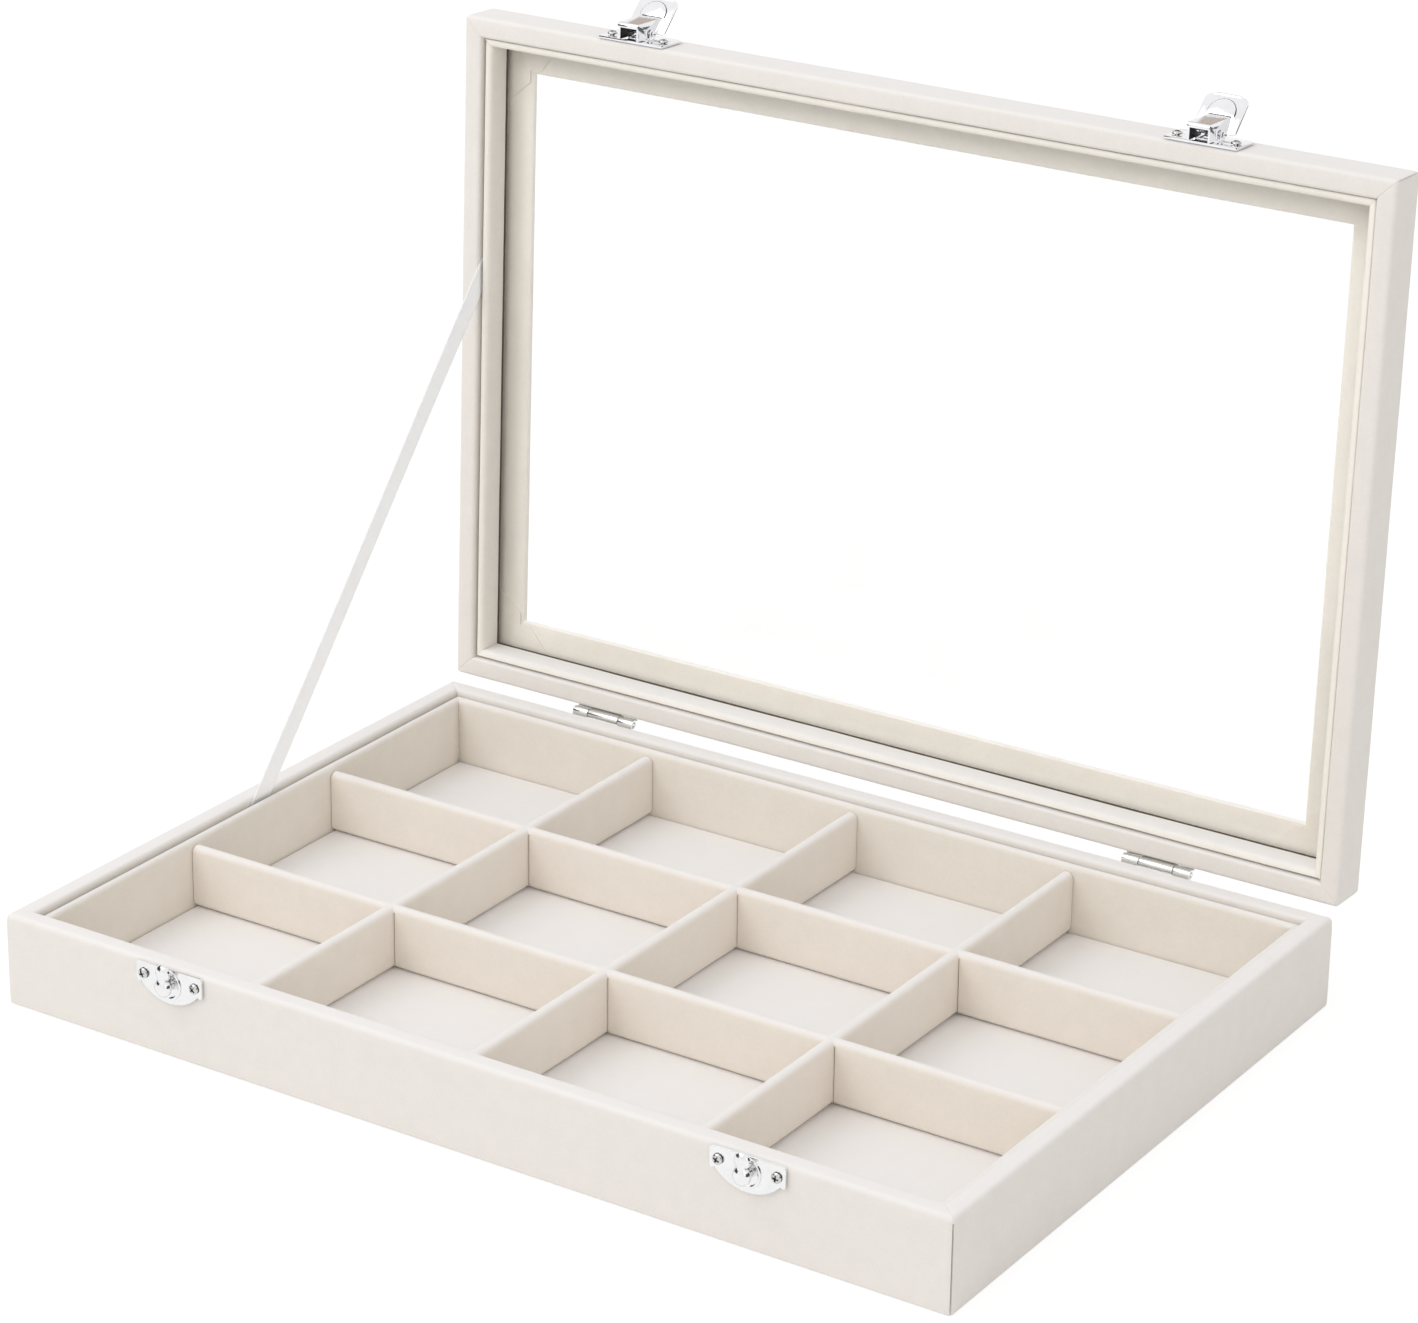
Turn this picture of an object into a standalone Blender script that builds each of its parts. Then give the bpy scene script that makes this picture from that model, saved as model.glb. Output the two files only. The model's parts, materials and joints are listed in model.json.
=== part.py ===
"""Jewelry display case: a cloth-covered tray with twelve compartments under a hinged, glazed lid.

Two spring latches on the lid snap over two hooked knobs on the tray, and a ribbon stays the lid
when it stands open. Lengths are in metres, +Z is up and the front faces -Y. The origin is the
centre of the tray's underside. The lid is modelled shut and then turned open on its hinge pins.
"""

import math

import bmesh
import bpy
from mathutils import Matrix, Vector

# Whole case
CASE_WIDTH = 0.350
CASE_DEPTH = 0.240
TRAY_HEIGHT = 0.0315
LID_HEIGHT = 0.0165
LID_GAP = 0.0003
LID_OPEN_ANGLE = math.radians(92)

# Cloth-covered boards of tray and lid
WALL_THICKNESS = 0.007
CORNER_RADIUS = 0.0026
CORNER_STEPS = 5
RIM_RADIUS = 0.0023
FOOT_RADIUS = 0.0008
FACE_RADIUS = 0.0014
FACE_FRAME_THICKNESS = 0.0022
FACE_FRAME_BORDER = 0.020
WINDOW_RADIUS = 0.0006

# Clearances and cuts
SEAM_GAP = 0.0003
CUT_OVERRUN = 0.002
WELD_DISTANCE = 0.000001
FLAT_ANGLE = math.radians(0.5)
CREASE_ANGLE = math.radians(35)

# Inside of the tray
BOTTOM_PANEL_THICKNESS = 0.0036
FLOOR_PAD_THICKNESS = 0.0018
FLOOR_PAD_RADIUS = 0.0006
TRAY_LINER_THICKNESS = 0.0030
TRAY_LINER_DROP = 0.0020
LINER_RADIUS = 0.0009
COLUMNS = 4
ROWS = 3
DIVIDER_THICKNESS = 0.0045
DIVIDER_DROP = 0.0040
DIVIDER_RADIUS = 0.0020

# Inside of the lid
LID_LINER_THICKNESS = 0.0028
LID_LINER_DROP = 0.0015
PANE_THICKNESS = 0.0015
CLOTH_ALLOWANCE = 0.0005

# Screws
SCREW_HEAD_RADIUS = 0.0017
SCREW_HEAD_HEIGHT = 0.0009
SCREW_SHANK_RADIUS = 0.0008
SCREW_GRIP = 0.0045
SCREW_SIDES = 12
SCREW_CROWN_REACH_SHARE = 0.55
SCREW_CROWN_HEIGHT_SHARE = 0.84
SCREW_EDGE_HEIGHT_SHARE = 0.3
RECESS_LENGTH = 0.0020
RECESS_WIDTH = 0.00045
RECESS_DEPTH = 0.00055

# Butt hinges on the back
HINGE_INSET = 0.065
HINGE_LENGTH = 0.025
HINGE_LEAF_HEIGHT = 0.0125
HINGE_SHEET = 0.00075
HINGE_PIN_RADIUS = 0.00055
HINGE_MIDDLE_KNUCKLE = 0.0124
HINGE_CURL_END = math.radians(-110)
HINGE_CURL_STEPS = 15
HINGE_SCREW_SPACING = 0.0150
HINGE_SCREW_REACH = 0.0082

# Spring latches on the lid
LATCH_INSET = 0.068
LATCH_PLATE_WIDTH = 0.026
LATCH_PLATE_HEIGHT = 0.012
LATCH_PLATE_THICKNESS = 0.0008
LATCH_PLATE_RADIUS = 0.0010
LATCH_SCREW_SPACING = 0.0206
LATCH_SCREW_HEIGHT = 0.0052
SOCKET_WIDTH = 0.0078
SOCKET_HEIGHT = 0.0072
SOCKET_SHEET = 0.00065
SOCKET_OVERHANG = 0.0013
LIP_RADIUS = 0.0010
LIP_DEPTH = 0.0016
PIN_HEIGHT = 0.0070
PIN_RADIUS = 0.00055
PIN_HEAD_RADIUS = 0.0010
PIN_HEAD_LENGTH = 0.0004
EAR_THICKNESS = 0.0006
CHEEK_HEEL_START = math.radians(-50)
BLADE_ANGLE = math.radians(47)
BLADE_WIDTH = 0.0152
BLADE_THICKNESS = 0.0006
BLADE_FOOT = 0.0014
BLADE_TIP = 0.0150
BLADE_TIP_RADIUS = 0.0024
BLADE_FOOT_RADIUS = 0.0010
ARCH_WIDTH = 0.0095
ARCH_RELIEF = 0.0004
ARCH_MARGIN = 0.0016
ROLL_RADIUS = 0.00075
ROLL_LENGTH = 0.0085

# Torsion spring round each latch pin
WIRE_RADIUS = 0.00025
COIL_RADIUS = 0.0012
COIL_PITCH = 0.00095
COIL_FULL_TURNS = 3
COIL_STEPS = 10
SPRING_LEG = 0.0032

# Strikes on the tray
STRIKE_WIDTH = 0.026
STRIKE_TOP_DROP = 0.0005
STRIKE_TAB_HEIGHT = 0.0070
STRIKE_TAB_WIDTH = 0.0017
STRIKE_NICK = 0.0004
STRIKE_TOTAL_HEIGHT = 0.0117
STRIKE_RADIUS = 0.0009
STRIKE_THICKNESS = 0.0008
STRIKE_SCREW_SPACING = 0.0202
STRIKE_SCREW_DROP = 0.0038
BOSS_RADIUS = 0.0050
BOSS_DROP = 0.0051
BOSS_HEIGHT = 0.0007
BOSS_GROOVE_HEIGHT = 0.00015
BOSS_CAP_RADIUS = 0.0034
BOSS_BEAD_RADIUS = 0.0005
BOSS_STEPS = 4
KNOB_STEM_RADIUS = 0.0011
KNOB_STEM_DEPTH = 0.0030
KNOB_NECK_RADIUS = 0.0015
KNOB_BALL_RADIUS = 0.0031
KNOB_BALL_THICKNESS = 0.0038
KNOB_HEAD_WIDTH = 0.0056
KNOB_HEAD_LENGTH = 0.0054
KNOB_HEAD_THICKNESS = 0.0030
KNOB_HEAD_DROP = 0.0002
KNOB_SIDES = 16

# Ribbon stay at the left
RIBBON_WIDTH = 0.0075
RIBBON_THICKNESS = 0.0004
RIBBON_TRAY_Y = 0.002
RIBBON_LID_REACH = 0.1465
RIBBON_TAIL = 0.0080
NOTCH_WIDTH = 0.026
NOTCH_DEPTH = 0.0085

# Worked out from the sizes above
LID_BASE = TRAY_HEIGHT + LID_GAP
HINGE_KNUCKLE_RADIUS = HINGE_PIN_RADIUS + SEAM_GAP + HINGE_SHEET
HINGE_Y = CASE_DEPTH / 2 + SEAM_GAP + HINGE_KNUCKLE_RADIUS
HINGE_Z = TRAY_HEIGHT + LID_GAP / 2
PAD_TOP = BOTTOM_PANEL_THICKNESS + SEAM_GAP + FLOOR_PAD_THICKNESS
LID_WALL_TOP = LID_HEIGHT - FACE_FRAME_THICKNESS - SEAM_GAP
PANE_BOTTOM = LID_WALL_TOP - CLOTH_ALLOWANCE - PANE_THICKNESS
LINER_INSET = WALL_THICKNESS + SEAM_GAP
LATCH_TOP = SEAM_GAP + LATCH_PLATE_THICKNESS
LATCH_SCREW_SEAT = LATCH_TOP + SEAM_GAP
COIL_OUTER = COIL_RADIUS + WIRE_RADIUS
PIN_OUT = LATCH_TOP + SEAM_GAP + COIL_OUTER
PIN_HOLE_RADIUS = PIN_RADIUS + SEAM_GAP
BLADE_FRONT = -(COIL_OUTER + SEAM_GAP)
STRIKE_TOP = TRAY_HEIGHT - STRIKE_TOP_DROP
KNOB_OUT = SOCKET_HEIGHT - LIP_DEPTH - SEAM_GAP - KNOB_HEAD_THICKNESS / 2
STRIKE_FACE = SEAM_GAP + STRIKE_THICKNESS
KNOB_BALL_OUT = STRIKE_FACE + BOSS_HEIGHT + SEAM_GAP + KNOB_BALL_THICKNESS / 2

# An outline's x, y and thickness turned to y, z and x
SIDEWAYS = Matrix(((0, 0, 1, 0), (1, 0, 0, 0), (0, 1, 0, 0), (0, 0, 0, 1)))
QUARTER_TURN = math.radians(90)
MM_PER_METRE = 1000


def clear_scene():
    for obj in list(bpy.data.objects):
        bpy.data.objects.remove(obj, do_unlink=True)


def new_collection(name):
    collection = bpy.data.collections.new(name)
    bpy.context.scene.collection.children.link(collection)
    return collection


clear_scene()
PARTS = new_collection("jewelry_display_case")
CUTTERS = new_collection("cutters")


def finish(name, colour, roughness, metallic=0.0, transmission=0.0):
    """A plain surface finish, in linear colour."""
    material = bpy.data.materials.new(name)
    material.use_nodes = True
    shader = material.node_tree.nodes["Principled BSDF"]
    shader.inputs["Base Color"].default_value = (*colour, 1.0)
    shader.inputs["Roughness"].default_value = roughness
    shader.inputs["Metallic"].default_value = metallic
    shader.inputs["Transmission Weight"].default_value = transmission
    return material


WALL_VELVET = finish("wall_velvet", (0.86, 0.82, 0.77), 0.9)
LINER_VELVET = finish("liner_velvet", (0.76, 0.70, 0.60), 0.9)
DIVIDER_VELVET = finish("divider_velvet", (0.80, 0.73, 0.66), 0.9)
PAD_VELVET = finish("pad_velvet", (0.78, 0.76, 0.71), 0.95)
BOARD = finish("bottom_board", (0.45, 0.36, 0.26), 0.8)
CLEAR_PANE = finish("clear_pane", (0.96, 0.97, 0.97), 0.03, transmission=1.0)
LATCH_CHROME = finish("latch_chrome", (0.78, 0.78, 0.79), 0.10, metallic=1.0)
STRIKE_CHROME = finish("strike_chrome", (0.76, 0.76, 0.77), 0.14, metallic=1.0)
SCREW_NICKEL = finish("screw_nickel", (0.70, 0.70, 0.71), 0.20, metallic=1.0)
HINGE_NICKEL = finish("hinge_nickel", (0.72, 0.71, 0.70), 0.22, metallic=1.0)
SPRING_WIRE = finish("spring_wire", (0.55, 0.55, 0.56), 0.30, metallic=1.0)
RIBBON_SATIN = finish("ribbon_satin", (0.92, 0.92, 0.92), 0.45)


def arc(centre, radius, start, end, steps):
    """Points along an arc, both ends included."""
    turns = [start + (end - start) * step / steps for step in range(steps + 1)]
    return [(centre[0] + radius * math.cos(turn), centre[1] + radius * math.sin(turn)) for turn in turns]


def circle(centre, radius, sides=SCREW_SIDES):
    return arc(centre, radius, 0, math.tau, sides)[:-1]


def rounded_rectangle(low, high, radii, steps=4):
    """Counter-clockwise outline. The radii are those of the lower and of the upper corners."""
    lower, upper = radii
    points = []
    points += arc((high[0] - lower, low[1] + lower), lower, -QUARTER_TURN, 0, steps)
    points += arc((high[0] - upper, high[1] - upper), upper, 0, QUARTER_TURN, steps)
    points += arc((low[0] + upper, high[1] - upper), upper, QUARTER_TURN, 2 * QUARTER_TURN, steps)
    points += arc((low[0] + lower, low[1] + lower), lower, 2 * QUARTER_TURN, 3 * QUARTER_TURN, steps)
    return points


def evaluated_mesh(name, obj):
    """The object's mesh with its modifiers applied. The object itself is removed."""
    bpy.context.view_layer.update()
    graph = bpy.context.evaluated_depsgraph_get()
    mesh = bpy.data.meshes.new_from_object(obj.evaluated_get(graph))
    mesh.name = name
    bpy.data.objects.remove(obj, do_unlink=True)
    return mesh


def weld(mesh, whole_faces=False):
    """Joins points that lie on each other, and where asked makes each flat face one."""
    bm = bmesh.new()
    bm.from_mesh(mesh)
    bmesh.ops.remove_doubles(bm, verts=bm.verts, dist=WELD_DISTANCE)
    bmesh.ops.dissolve_degenerate(bm, edges=bm.edges, dist=WELD_DISTANCE)
    if whole_faces:
        bmesh.ops.dissolve_limit(bm, angle_limit=FLAT_ANGLE, verts=bm.verts, edges=bm.edges)
        bmesh.ops.recalc_face_normals(bm, faces=bm.faces)
    bm.to_mesh(mesh)
    bm.free()


def welded_curve(name, curve):
    """A curve as a mesh, its caps welded to its sides."""
    holder = bpy.data.objects.new(name, curve)
    PARTS.objects.link(holder)
    mesh = evaluated_mesh(name, holder)
    weld(mesh, whole_faces=True)
    return mesh


def outline_mesh(name, loops, thickness, matrix=Matrix()):
    """A flat outline, with any holes in it, made thick from z = 0 upwards and then placed."""
    curve = bpy.data.curves.new(name, "CURVE")
    curve.dimensions = "2D"
    curve.fill_mode = "BOTH"
    curve.extrude = thickness / 2
    for loop in loops:
        spline = curve.splines.new("POLY")
        spline.points.add(len(loop) - 1)
        for point, place in zip(spline.points, loop):
            point.co = (*place, 0, 1)
        spline.use_cyclic_u = True
    mesh = welded_curve(name, curve)
    mesh.transform(matrix @ Matrix.Translation((0, 0, thickness / 2)))
    return mesh


def tube_mesh(name, points, radius, resolution, matrix=Matrix()):
    """A round wire or stem through the points, closed at both ends."""
    curve = bpy.data.curves.new(name, "CURVE")
    curve.dimensions = "3D"
    curve.bevel_depth = radius
    curve.bevel_resolution = resolution
    curve.use_fill_caps = True
    spline = curve.splines.new("POLY")
    spline.points.add(len(points) - 1)
    for point, place in zip(spline.points, points):
        point.co = (*place, 1)
    mesh = welded_curve(name, curve)
    mesh.transform(matrix)
    return mesh


def cylinder_mesh(name, radius, depth, matrix, sides=SCREW_SIDES):
    """A cylinder centred on its place, along the local Z."""
    bm = bmesh.new()
    bmesh.ops.create_cone(
        bm, cap_ends=True, segments=sides, radius1=radius, radius2=radius, depth=depth
    )
    mesh = bpy.data.meshes.new(name)
    bm.to_mesh(mesh)
    bm.free()
    mesh.transform(matrix)
    return mesh


def box_mesh(name, low, high):
    bm = bmesh.new()
    bmesh.ops.create_cube(bm, size=1)
    size = Vector(high) - Vector(low)
    middle = (Vector(high) + Vector(low)) / 2
    bm.transform(Matrix.Translation(middle) @ Matrix.Diagonal((*size, 1)))
    mesh = bpy.data.meshes.new(name)
    bm.to_mesh(mesh)
    bm.free()
    return mesh


def turned_mesh(name, profile, steps, matrix=Matrix()):
    """A profile of (radius, height) points, listed from the top down, turned about Z."""
    mesh = bpy.data.meshes.new(name)
    verts = [(radius, 0, height) for radius, height in profile]
    mesh.from_pydata(verts, [(i, i + 1) for i in range(len(verts) - 1)], [])
    holder = bpy.data.objects.new(name, mesh)
    PARTS.objects.link(holder)
    screw = holder.modifiers.new("turn", "SCREW")
    screw.steps = steps
    screw.render_steps = steps
    screw.use_merge_vertices = True
    screw.merge_threshold = WELD_DISTANCE
    turned = evaluated_mesh(name, holder)
    turned.transform(matrix)
    return turned


def combined_mesh(name, base, tools, operation):
    """The base mesh with each tool mesh joined to it, or cut from it."""
    target = bpy.data.objects.new(name, base)
    PARTS.objects.link(target)
    helpers = []
    for tool in tools:
        helper = bpy.data.objects.new(name + "_tool", tool)
        CUTTERS.objects.link(helper)
        helpers.append(helper)
        change = target.modifiers.new("change", "BOOLEAN")
        change.operation = operation
        change.solver = "EXACT"
        change.object = helper
    result = evaluated_mesh(name, target)
    for helper in helpers:
        bpy.data.objects.remove(helper, do_unlink=True)
    weld(result)
    return result


def group_mesh(name, mesh, matrices):
    """Copies of one mesh, side by side as separate solids."""
    bm = bmesh.new()
    for matrix in matrices:
        copy = mesh.copy()
        copy.transform(matrix)
        bm.from_mesh(copy)
        bpy.data.meshes.remove(copy)
    group = bpy.data.meshes.new(name)
    bm.to_mesh(group)
    bm.free()
    return group


def round_edges(mesh, radius, segments, chosen):
    """Rounds the edges whose two ends both pass the test."""
    bm = bmesh.new()
    bm.from_mesh(mesh)
    edges = [edge for edge in bm.edges if chosen(*(vert.co for vert in edge.verts))]
    bmesh.ops.bevel(
        bm, geom=edges, offset=radius, segments=segments, profile=0.5, affect="EDGES"
    )
    bm.to_mesh(mesh)
    bm.free()


def level(height, *points):
    return all(abs(point.z - height) < WELD_DISTANCE for point in points)


def pivot(name, place, carrier=None):
    """An empty on a joint's axis. What it carries is placed as if the case were shut."""
    empty = bpy.data.objects.new(name, None)
    PARTS.objects.link(empty)
    empty.location = place
    empty["shut"] = list(place)
    if carrier:
        empty.parent = carrier
        empty.matrix_parent_inverse = Matrix.Translation(-Vector(carrier["shut"]))
    return empty


def add_part(name, mesh, material, matrix=Matrix(), carrier=None, collection=PARTS):
    obj = bpy.data.objects.new(name, mesh)
    collection.objects.link(obj)
    if carrier:
        obj.parent = carrier
        obj.matrix_parent_inverse = Matrix.Translation(-Vector(carrier["shut"]))
    obj.matrix_basis = matrix
    if material and not mesh.materials:
        mesh.materials.append(material)
    mesh.shade_smooth()
    mesh.set_sharp_from_angle(angle=CREASE_ANGLE)
    return obj


def cut(obj, tool, carrier=None):
    """Cuts a tool mesh, placed as if the case were shut, from an object."""
    cutter = add_part(obj.name + "_cutter", tool, None, Matrix(), carrier, CUTTERS)
    cutter.hide_render = True
    cutter.display_type = "WIRE"
    change = obj.modifiers.new("cut", "BOOLEAN")
    change.operation = "DIFFERENCE"
    change.solver = "EXACT"
    change.object = cutter


def bar_mesh(name, length, thickness, bottom, top, corner_radius=0.0):
    """A mitred bar along X. Its outer face is at y = 0 and its ends share the corner's rounding."""
    setback = SEAM_GAP / math.sqrt(2)
    half = length / 2
    right = []
    if corner_radius:
        centre = (half - corner_radius, corner_radius)
        end = QUARTER_TURN / 2 - math.asin(setback / (math.sqrt(2) * corner_radius))
        right = arc(centre, corner_radius, -QUARTER_TURN, end - QUARTER_TURN, CORNER_STEPS)
    else:
        right = [(half - setback, 0)]
    right.append((half - thickness - setback, thickness))
    left = [(-x, y) for x, y in reversed(right)]
    return outline_mesh(name, [right + left], top - bottom, Matrix.Translation((0, 0, bottom)))


def round_bar(mesh, height, radius, segments, thickness, inner=True):
    """Rounds a bar's outer edge at one height, and its inner edge too."""

    def chosen(a, b):
        outside = max(a.y, b.y) < thickness / 2
        inside = inner and min(a.y, b.y) > thickness / 2
        return level(height, a, b) and (outside or inside)

    round_edges(mesh, radius, segments, chosen)


def side_frames(width, depth):
    """Where the bars of a rectangular frame go, each with its length."""
    return {
        "front": (Matrix.Translation((0, -depth / 2, 0)), width),
        "right": (Matrix.Translation((width / 2, 0, 0)) @ Matrix.Rotation(QUARTER_TURN, 4, "Z"), depth),
        "back": (Matrix.Translation((0, depth / 2, 0)) @ Matrix.Rotation(2 * QUARTER_TURN, 4, "Z"), width),
        "left": (Matrix.Translation((-width / 2, 0, 0)) @ Matrix.Rotation(3 * QUARTER_TURN, 4, "Z"), depth),
    }


def front_frame(x, z):
    """Outlines drawn in x and z, thickness outwards from the front face."""
    return Matrix.Translation((x, -CASE_DEPTH / 2, z)) @ Matrix.Rotation(QUARTER_TURN, 4, "X")


def back_frame(x, z):
    """The same on the back face."""
    turn = Matrix.Rotation(2 * QUARTER_TURN, 4, "Z") @ Matrix.Rotation(QUARTER_TURN, 4, "X")
    return Matrix.Translation((x, CASE_DEPTH / 2, z)) @ turn


def screw_mesh(name, seat):
    """A domed, cross-slotted screw along Z, its head resting above the height of its seat."""
    top = seat + SCREW_HEAD_HEIGHT
    profile = [
        (0, top),
        (SCREW_HEAD_RADIUS * SCREW_CROWN_REACH_SHARE, seat + SCREW_HEAD_HEIGHT * SCREW_CROWN_HEIGHT_SHARE),
        (SCREW_HEAD_RADIUS, seat + SCREW_HEAD_HEIGHT * SCREW_EDGE_HEIGHT_SHARE),
        (SCREW_HEAD_RADIUS, seat),
        (SCREW_SHANK_RADIUS, seat),
        (SCREW_SHANK_RADIUS, -SCREW_GRIP + SCREW_SHANK_RADIUS),
        (0, -SCREW_GRIP),
    ]
    screw = turned_mesh(name, profile, SCREW_SIDES)
    floor = top - RECESS_DEPTH
    length = RECESS_LENGTH / 2
    width = RECESS_WIDTH / 2
    above = top + CUT_OVERRUN
    slots = [
        box_mesh(name, (-length, -width, floor), (length, width, above)),
        box_mesh(name, (-width, -length, floor), (width, length, above)),
    ]
    return combined_mesh(name, screw, slots, "DIFFERENCE")


def add_screws(names, screw, frames, carrier=None):
    for number, frame in enumerate(frames, 1):
        add_part(f"{names}_{number}", screw, SCREW_NICKEL, frame, carrier)


def screw_holes(name, frames, radius=SCREW_SHANK_RADIUS + SEAM_GAP, depth=SCREW_GRIP + SEAM_GAP):
    """Blind holes into the board under each frame."""
    reach = depth + CUT_OVERRUN
    middle = Matrix.Translation((0, 0, CUT_OVERRUN - reach / 2))
    hole = cylinder_mesh(name, radius, reach, middle)
    return group_mesh(name, hole, frames)


# Places of the repeated fittings

SIDES = {"left": -1, "right": 1}


def strike_screw_frames(x):
    height = STRIKE_TOP - STRIKE_SCREW_DROP
    return [front_frame(x + side * STRIKE_SCREW_SPACING / 2, height) for side in SIDES.values()]


def latch_screw_frames(x):
    height = LID_BASE + LATCH_SCREW_HEIGHT
    return [front_frame(x + side * LATCH_SCREW_SPACING / 2, height) for side in SIDES.values()]


def hinge_screw_frames(x, direction):
    height = HINGE_Z + direction * HINGE_SCREW_REACH
    return [back_frame(x + side * HINGE_SCREW_SPACING / 2, height) for side in SIDES.values()]


LATCH_PLACES = {name: side * (CASE_WIDTH / 2 - LATCH_INSET) for name, side in SIDES.items()}
HINGE_PLACES = {name: side * (CASE_WIDTH / 2 - HINGE_INSET) for name, side in SIDES.items()}
ALL_STRIKE_SCREWS = [frame for x in LATCH_PLACES.values() for frame in strike_screw_frames(x)]
ALL_LATCH_SCREWS = [frame for x in LATCH_PLACES.values() for frame in latch_screw_frames(x)]
TRAY_HINGE_SCREWS = [frame for x in HINGE_PLACES.values() for frame in hinge_screw_frames(x, -1)]
LID_HINGE_SCREWS = [frame for x in HINGE_PLACES.values() for frame in hinge_screw_frames(x, 1)]
KNOB_STEM_HEIGHT = STRIKE_TOP - BOSS_DROP


# Tray


def add_tray_walls():
    """Four mitred walls with softly rounded rims, drilled for the strikes and hinges."""
    walls = {}
    for side, (matrix, length) in side_frames(CASE_WIDTH, CASE_DEPTH).items():
        name = f"tray_{side}_wall"
        mesh = bar_mesh(name, length, WALL_THICKNESS, 0, TRAY_HEIGHT, CORNER_RADIUS)
        round_bar(mesh, TRAY_HEIGHT, RIM_RADIUS, 5, WALL_THICKNESS)
        round_bar(mesh, 0, FOOT_RADIUS, 2, WALL_THICKNESS, inner=False)
        walls[side] = add_part(name, mesh, WALL_VELVET, matrix)
    cut(walls["front"], screw_holes("strike_screw_holes", ALL_STRIKE_SCREWS))
    stems = [front_frame(x, KNOB_STEM_HEIGHT) for x in LATCH_PLACES.values()]
    radius = KNOB_STEM_RADIUS + SEAM_GAP
    cut(walls["front"], screw_holes("knob_stem_holes", stems, radius, KNOB_STEM_DEPTH + SEAM_GAP))
    cut(walls["back"], screw_holes("hinge_screw_holes", TRAY_HINGE_SCREWS))


def add_tray_floor():
    """The bottom board between the walls, and the soft pad on it."""
    x = CASE_WIDTH / 2 - WALL_THICKNESS - SEAM_GAP
    y = CASE_DEPTH / 2 - WALL_THICKNESS - SEAM_GAP
    panel = box_mesh("tray_bottom_panel", (-x, -y, 0), (x, y, BOTTOM_PANEL_THICKNESS))
    add_part("tray_bottom_panel", panel, BOARD)
    x -= TRAY_LINER_THICKNESS + SEAM_GAP
    y -= TRAY_LINER_THICKNESS + SEAM_GAP
    pad = box_mesh("tray_floor_pad", (-x, -y, PAD_TOP - FLOOR_PAD_THICKNESS), (x, y, PAD_TOP))
    round_edges(pad, FLOOR_PAD_RADIUS, 2, lambda a, b: level(PAD_TOP, a, b))
    add_part("tray_floor_pad", pad, PAD_VELVET)


def ribbon_notch(name, face_x, low, high, y):
    """Room for a tail of the ribbon in the outer face of a liner strip."""
    depth = RIBBON_THICKNESS + SEAM_GAP
    reach = NOTCH_WIDTH / 2
    return box_mesh(name, (face_x - CUT_OVERRUN, y - reach, low), (face_x + depth, y + reach, high))


def add_tray_liners():
    """Thin covered strips that stand inside the walls, a little below the rim."""
    low = BOTTOM_PANEL_THICKNESS + SEAM_GAP
    top = TRAY_HEIGHT - TRAY_LINER_DROP
    width = CASE_WIDTH - 2 * LINER_INSET
    depth = CASE_DEPTH - 2 * LINER_INSET
    for side, (matrix, length) in side_frames(width, depth).items():
        name = f"tray_{side}_liner"
        mesh = bar_mesh(name, length, TRAY_LINER_THICKNESS, low, top)
        round_bar(mesh, top, LINER_RADIUS, 3, TRAY_LINER_THICKNESS)
        liner = add_part(name, mesh, LINER_VELVET, matrix)
        if side == "left":
            y = RIBBON_TRAY_Y - (NOTCH_WIDTH - RIBBON_WIDTH) / 4
            notch = ribbon_notch("tray_ribbon_notch", -width / 2, top - NOTCH_DEPTH, top + CUT_OVERRUN, y)
            cut(liner, notch)


def divider_places(inner, count):
    """Centres of the dividers that share an inner length into equal compartments."""
    room = (inner - (count - 1) * DIVIDER_THICKNESS) / count
    pitch = room + DIVIDER_THICKNESS
    return [(index - (count - 2) / 2) * pitch for index in range(count - 1)]


def divider_mesh(name, length, slots, from_top):
    """A covered strip along X with a rounded top and halving slots for the strips it crosses."""
    low = PAD_TOP + SEAM_GAP
    high = TRAY_HEIGHT - DIVIDER_DROP
    half = DIVIDER_THICKNESS / 2
    mesh = box_mesh(name, (-length / 2, -half, low), (length / 2, half, high))

    def chosen(a, b):
        return level(high, a, b) and a.y * b.y > 0

    round_edges(mesh, DIVIDER_RADIUS, 4, chosen)
    middle = (low + high) / 2
    slot_half = half + SEAM_GAP
    cutters = []
    for x in slots:
        below = middle - SEAM_GAP / 2 if from_top else low - CUT_OVERRUN
        above = high + CUT_OVERRUN if from_top else middle + SEAM_GAP / 2
        side = half + CUT_OVERRUN
        cutters.append(box_mesh(name, (x - slot_half, -side, below), (x + slot_half, side, above)))
    return combined_mesh(name, mesh, cutters, "DIFFERENCE")


def add_dividers():
    """An egg-crate of two long and three cross dividers, halved into each other."""
    inset = 2 * (LINER_INSET + TRAY_LINER_THICKNESS)
    inner_width = CASE_WIDTH - inset
    inner_depth = CASE_DEPTH - inset
    columns = divider_places(inner_width, COLUMNS)
    rows = divider_places(inner_depth, ROWS)
    long_mesh = divider_mesh("long_divider", inner_width - 2 * SEAM_GAP, columns, False)
    cross_mesh = divider_mesh("cross_divider", inner_depth - 2 * SEAM_GAP, rows, True)
    for number, y in enumerate(rows, 1):
        add_part(f"long_divider_{number}", long_mesh, DIVIDER_VELVET, Matrix.Translation((0, y, 0)))
    turn = Matrix.Rotation(QUARTER_TURN, 4, "Z")
    for number, x in enumerate(columns, 1):
        place = Matrix.Translation((x, 0, 0)) @ turn
        add_part(f"cross_divider_{number}", cross_mesh, DIVIDER_VELVET, place)
    print("compartment columns", columns, "rows", rows)


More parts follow.
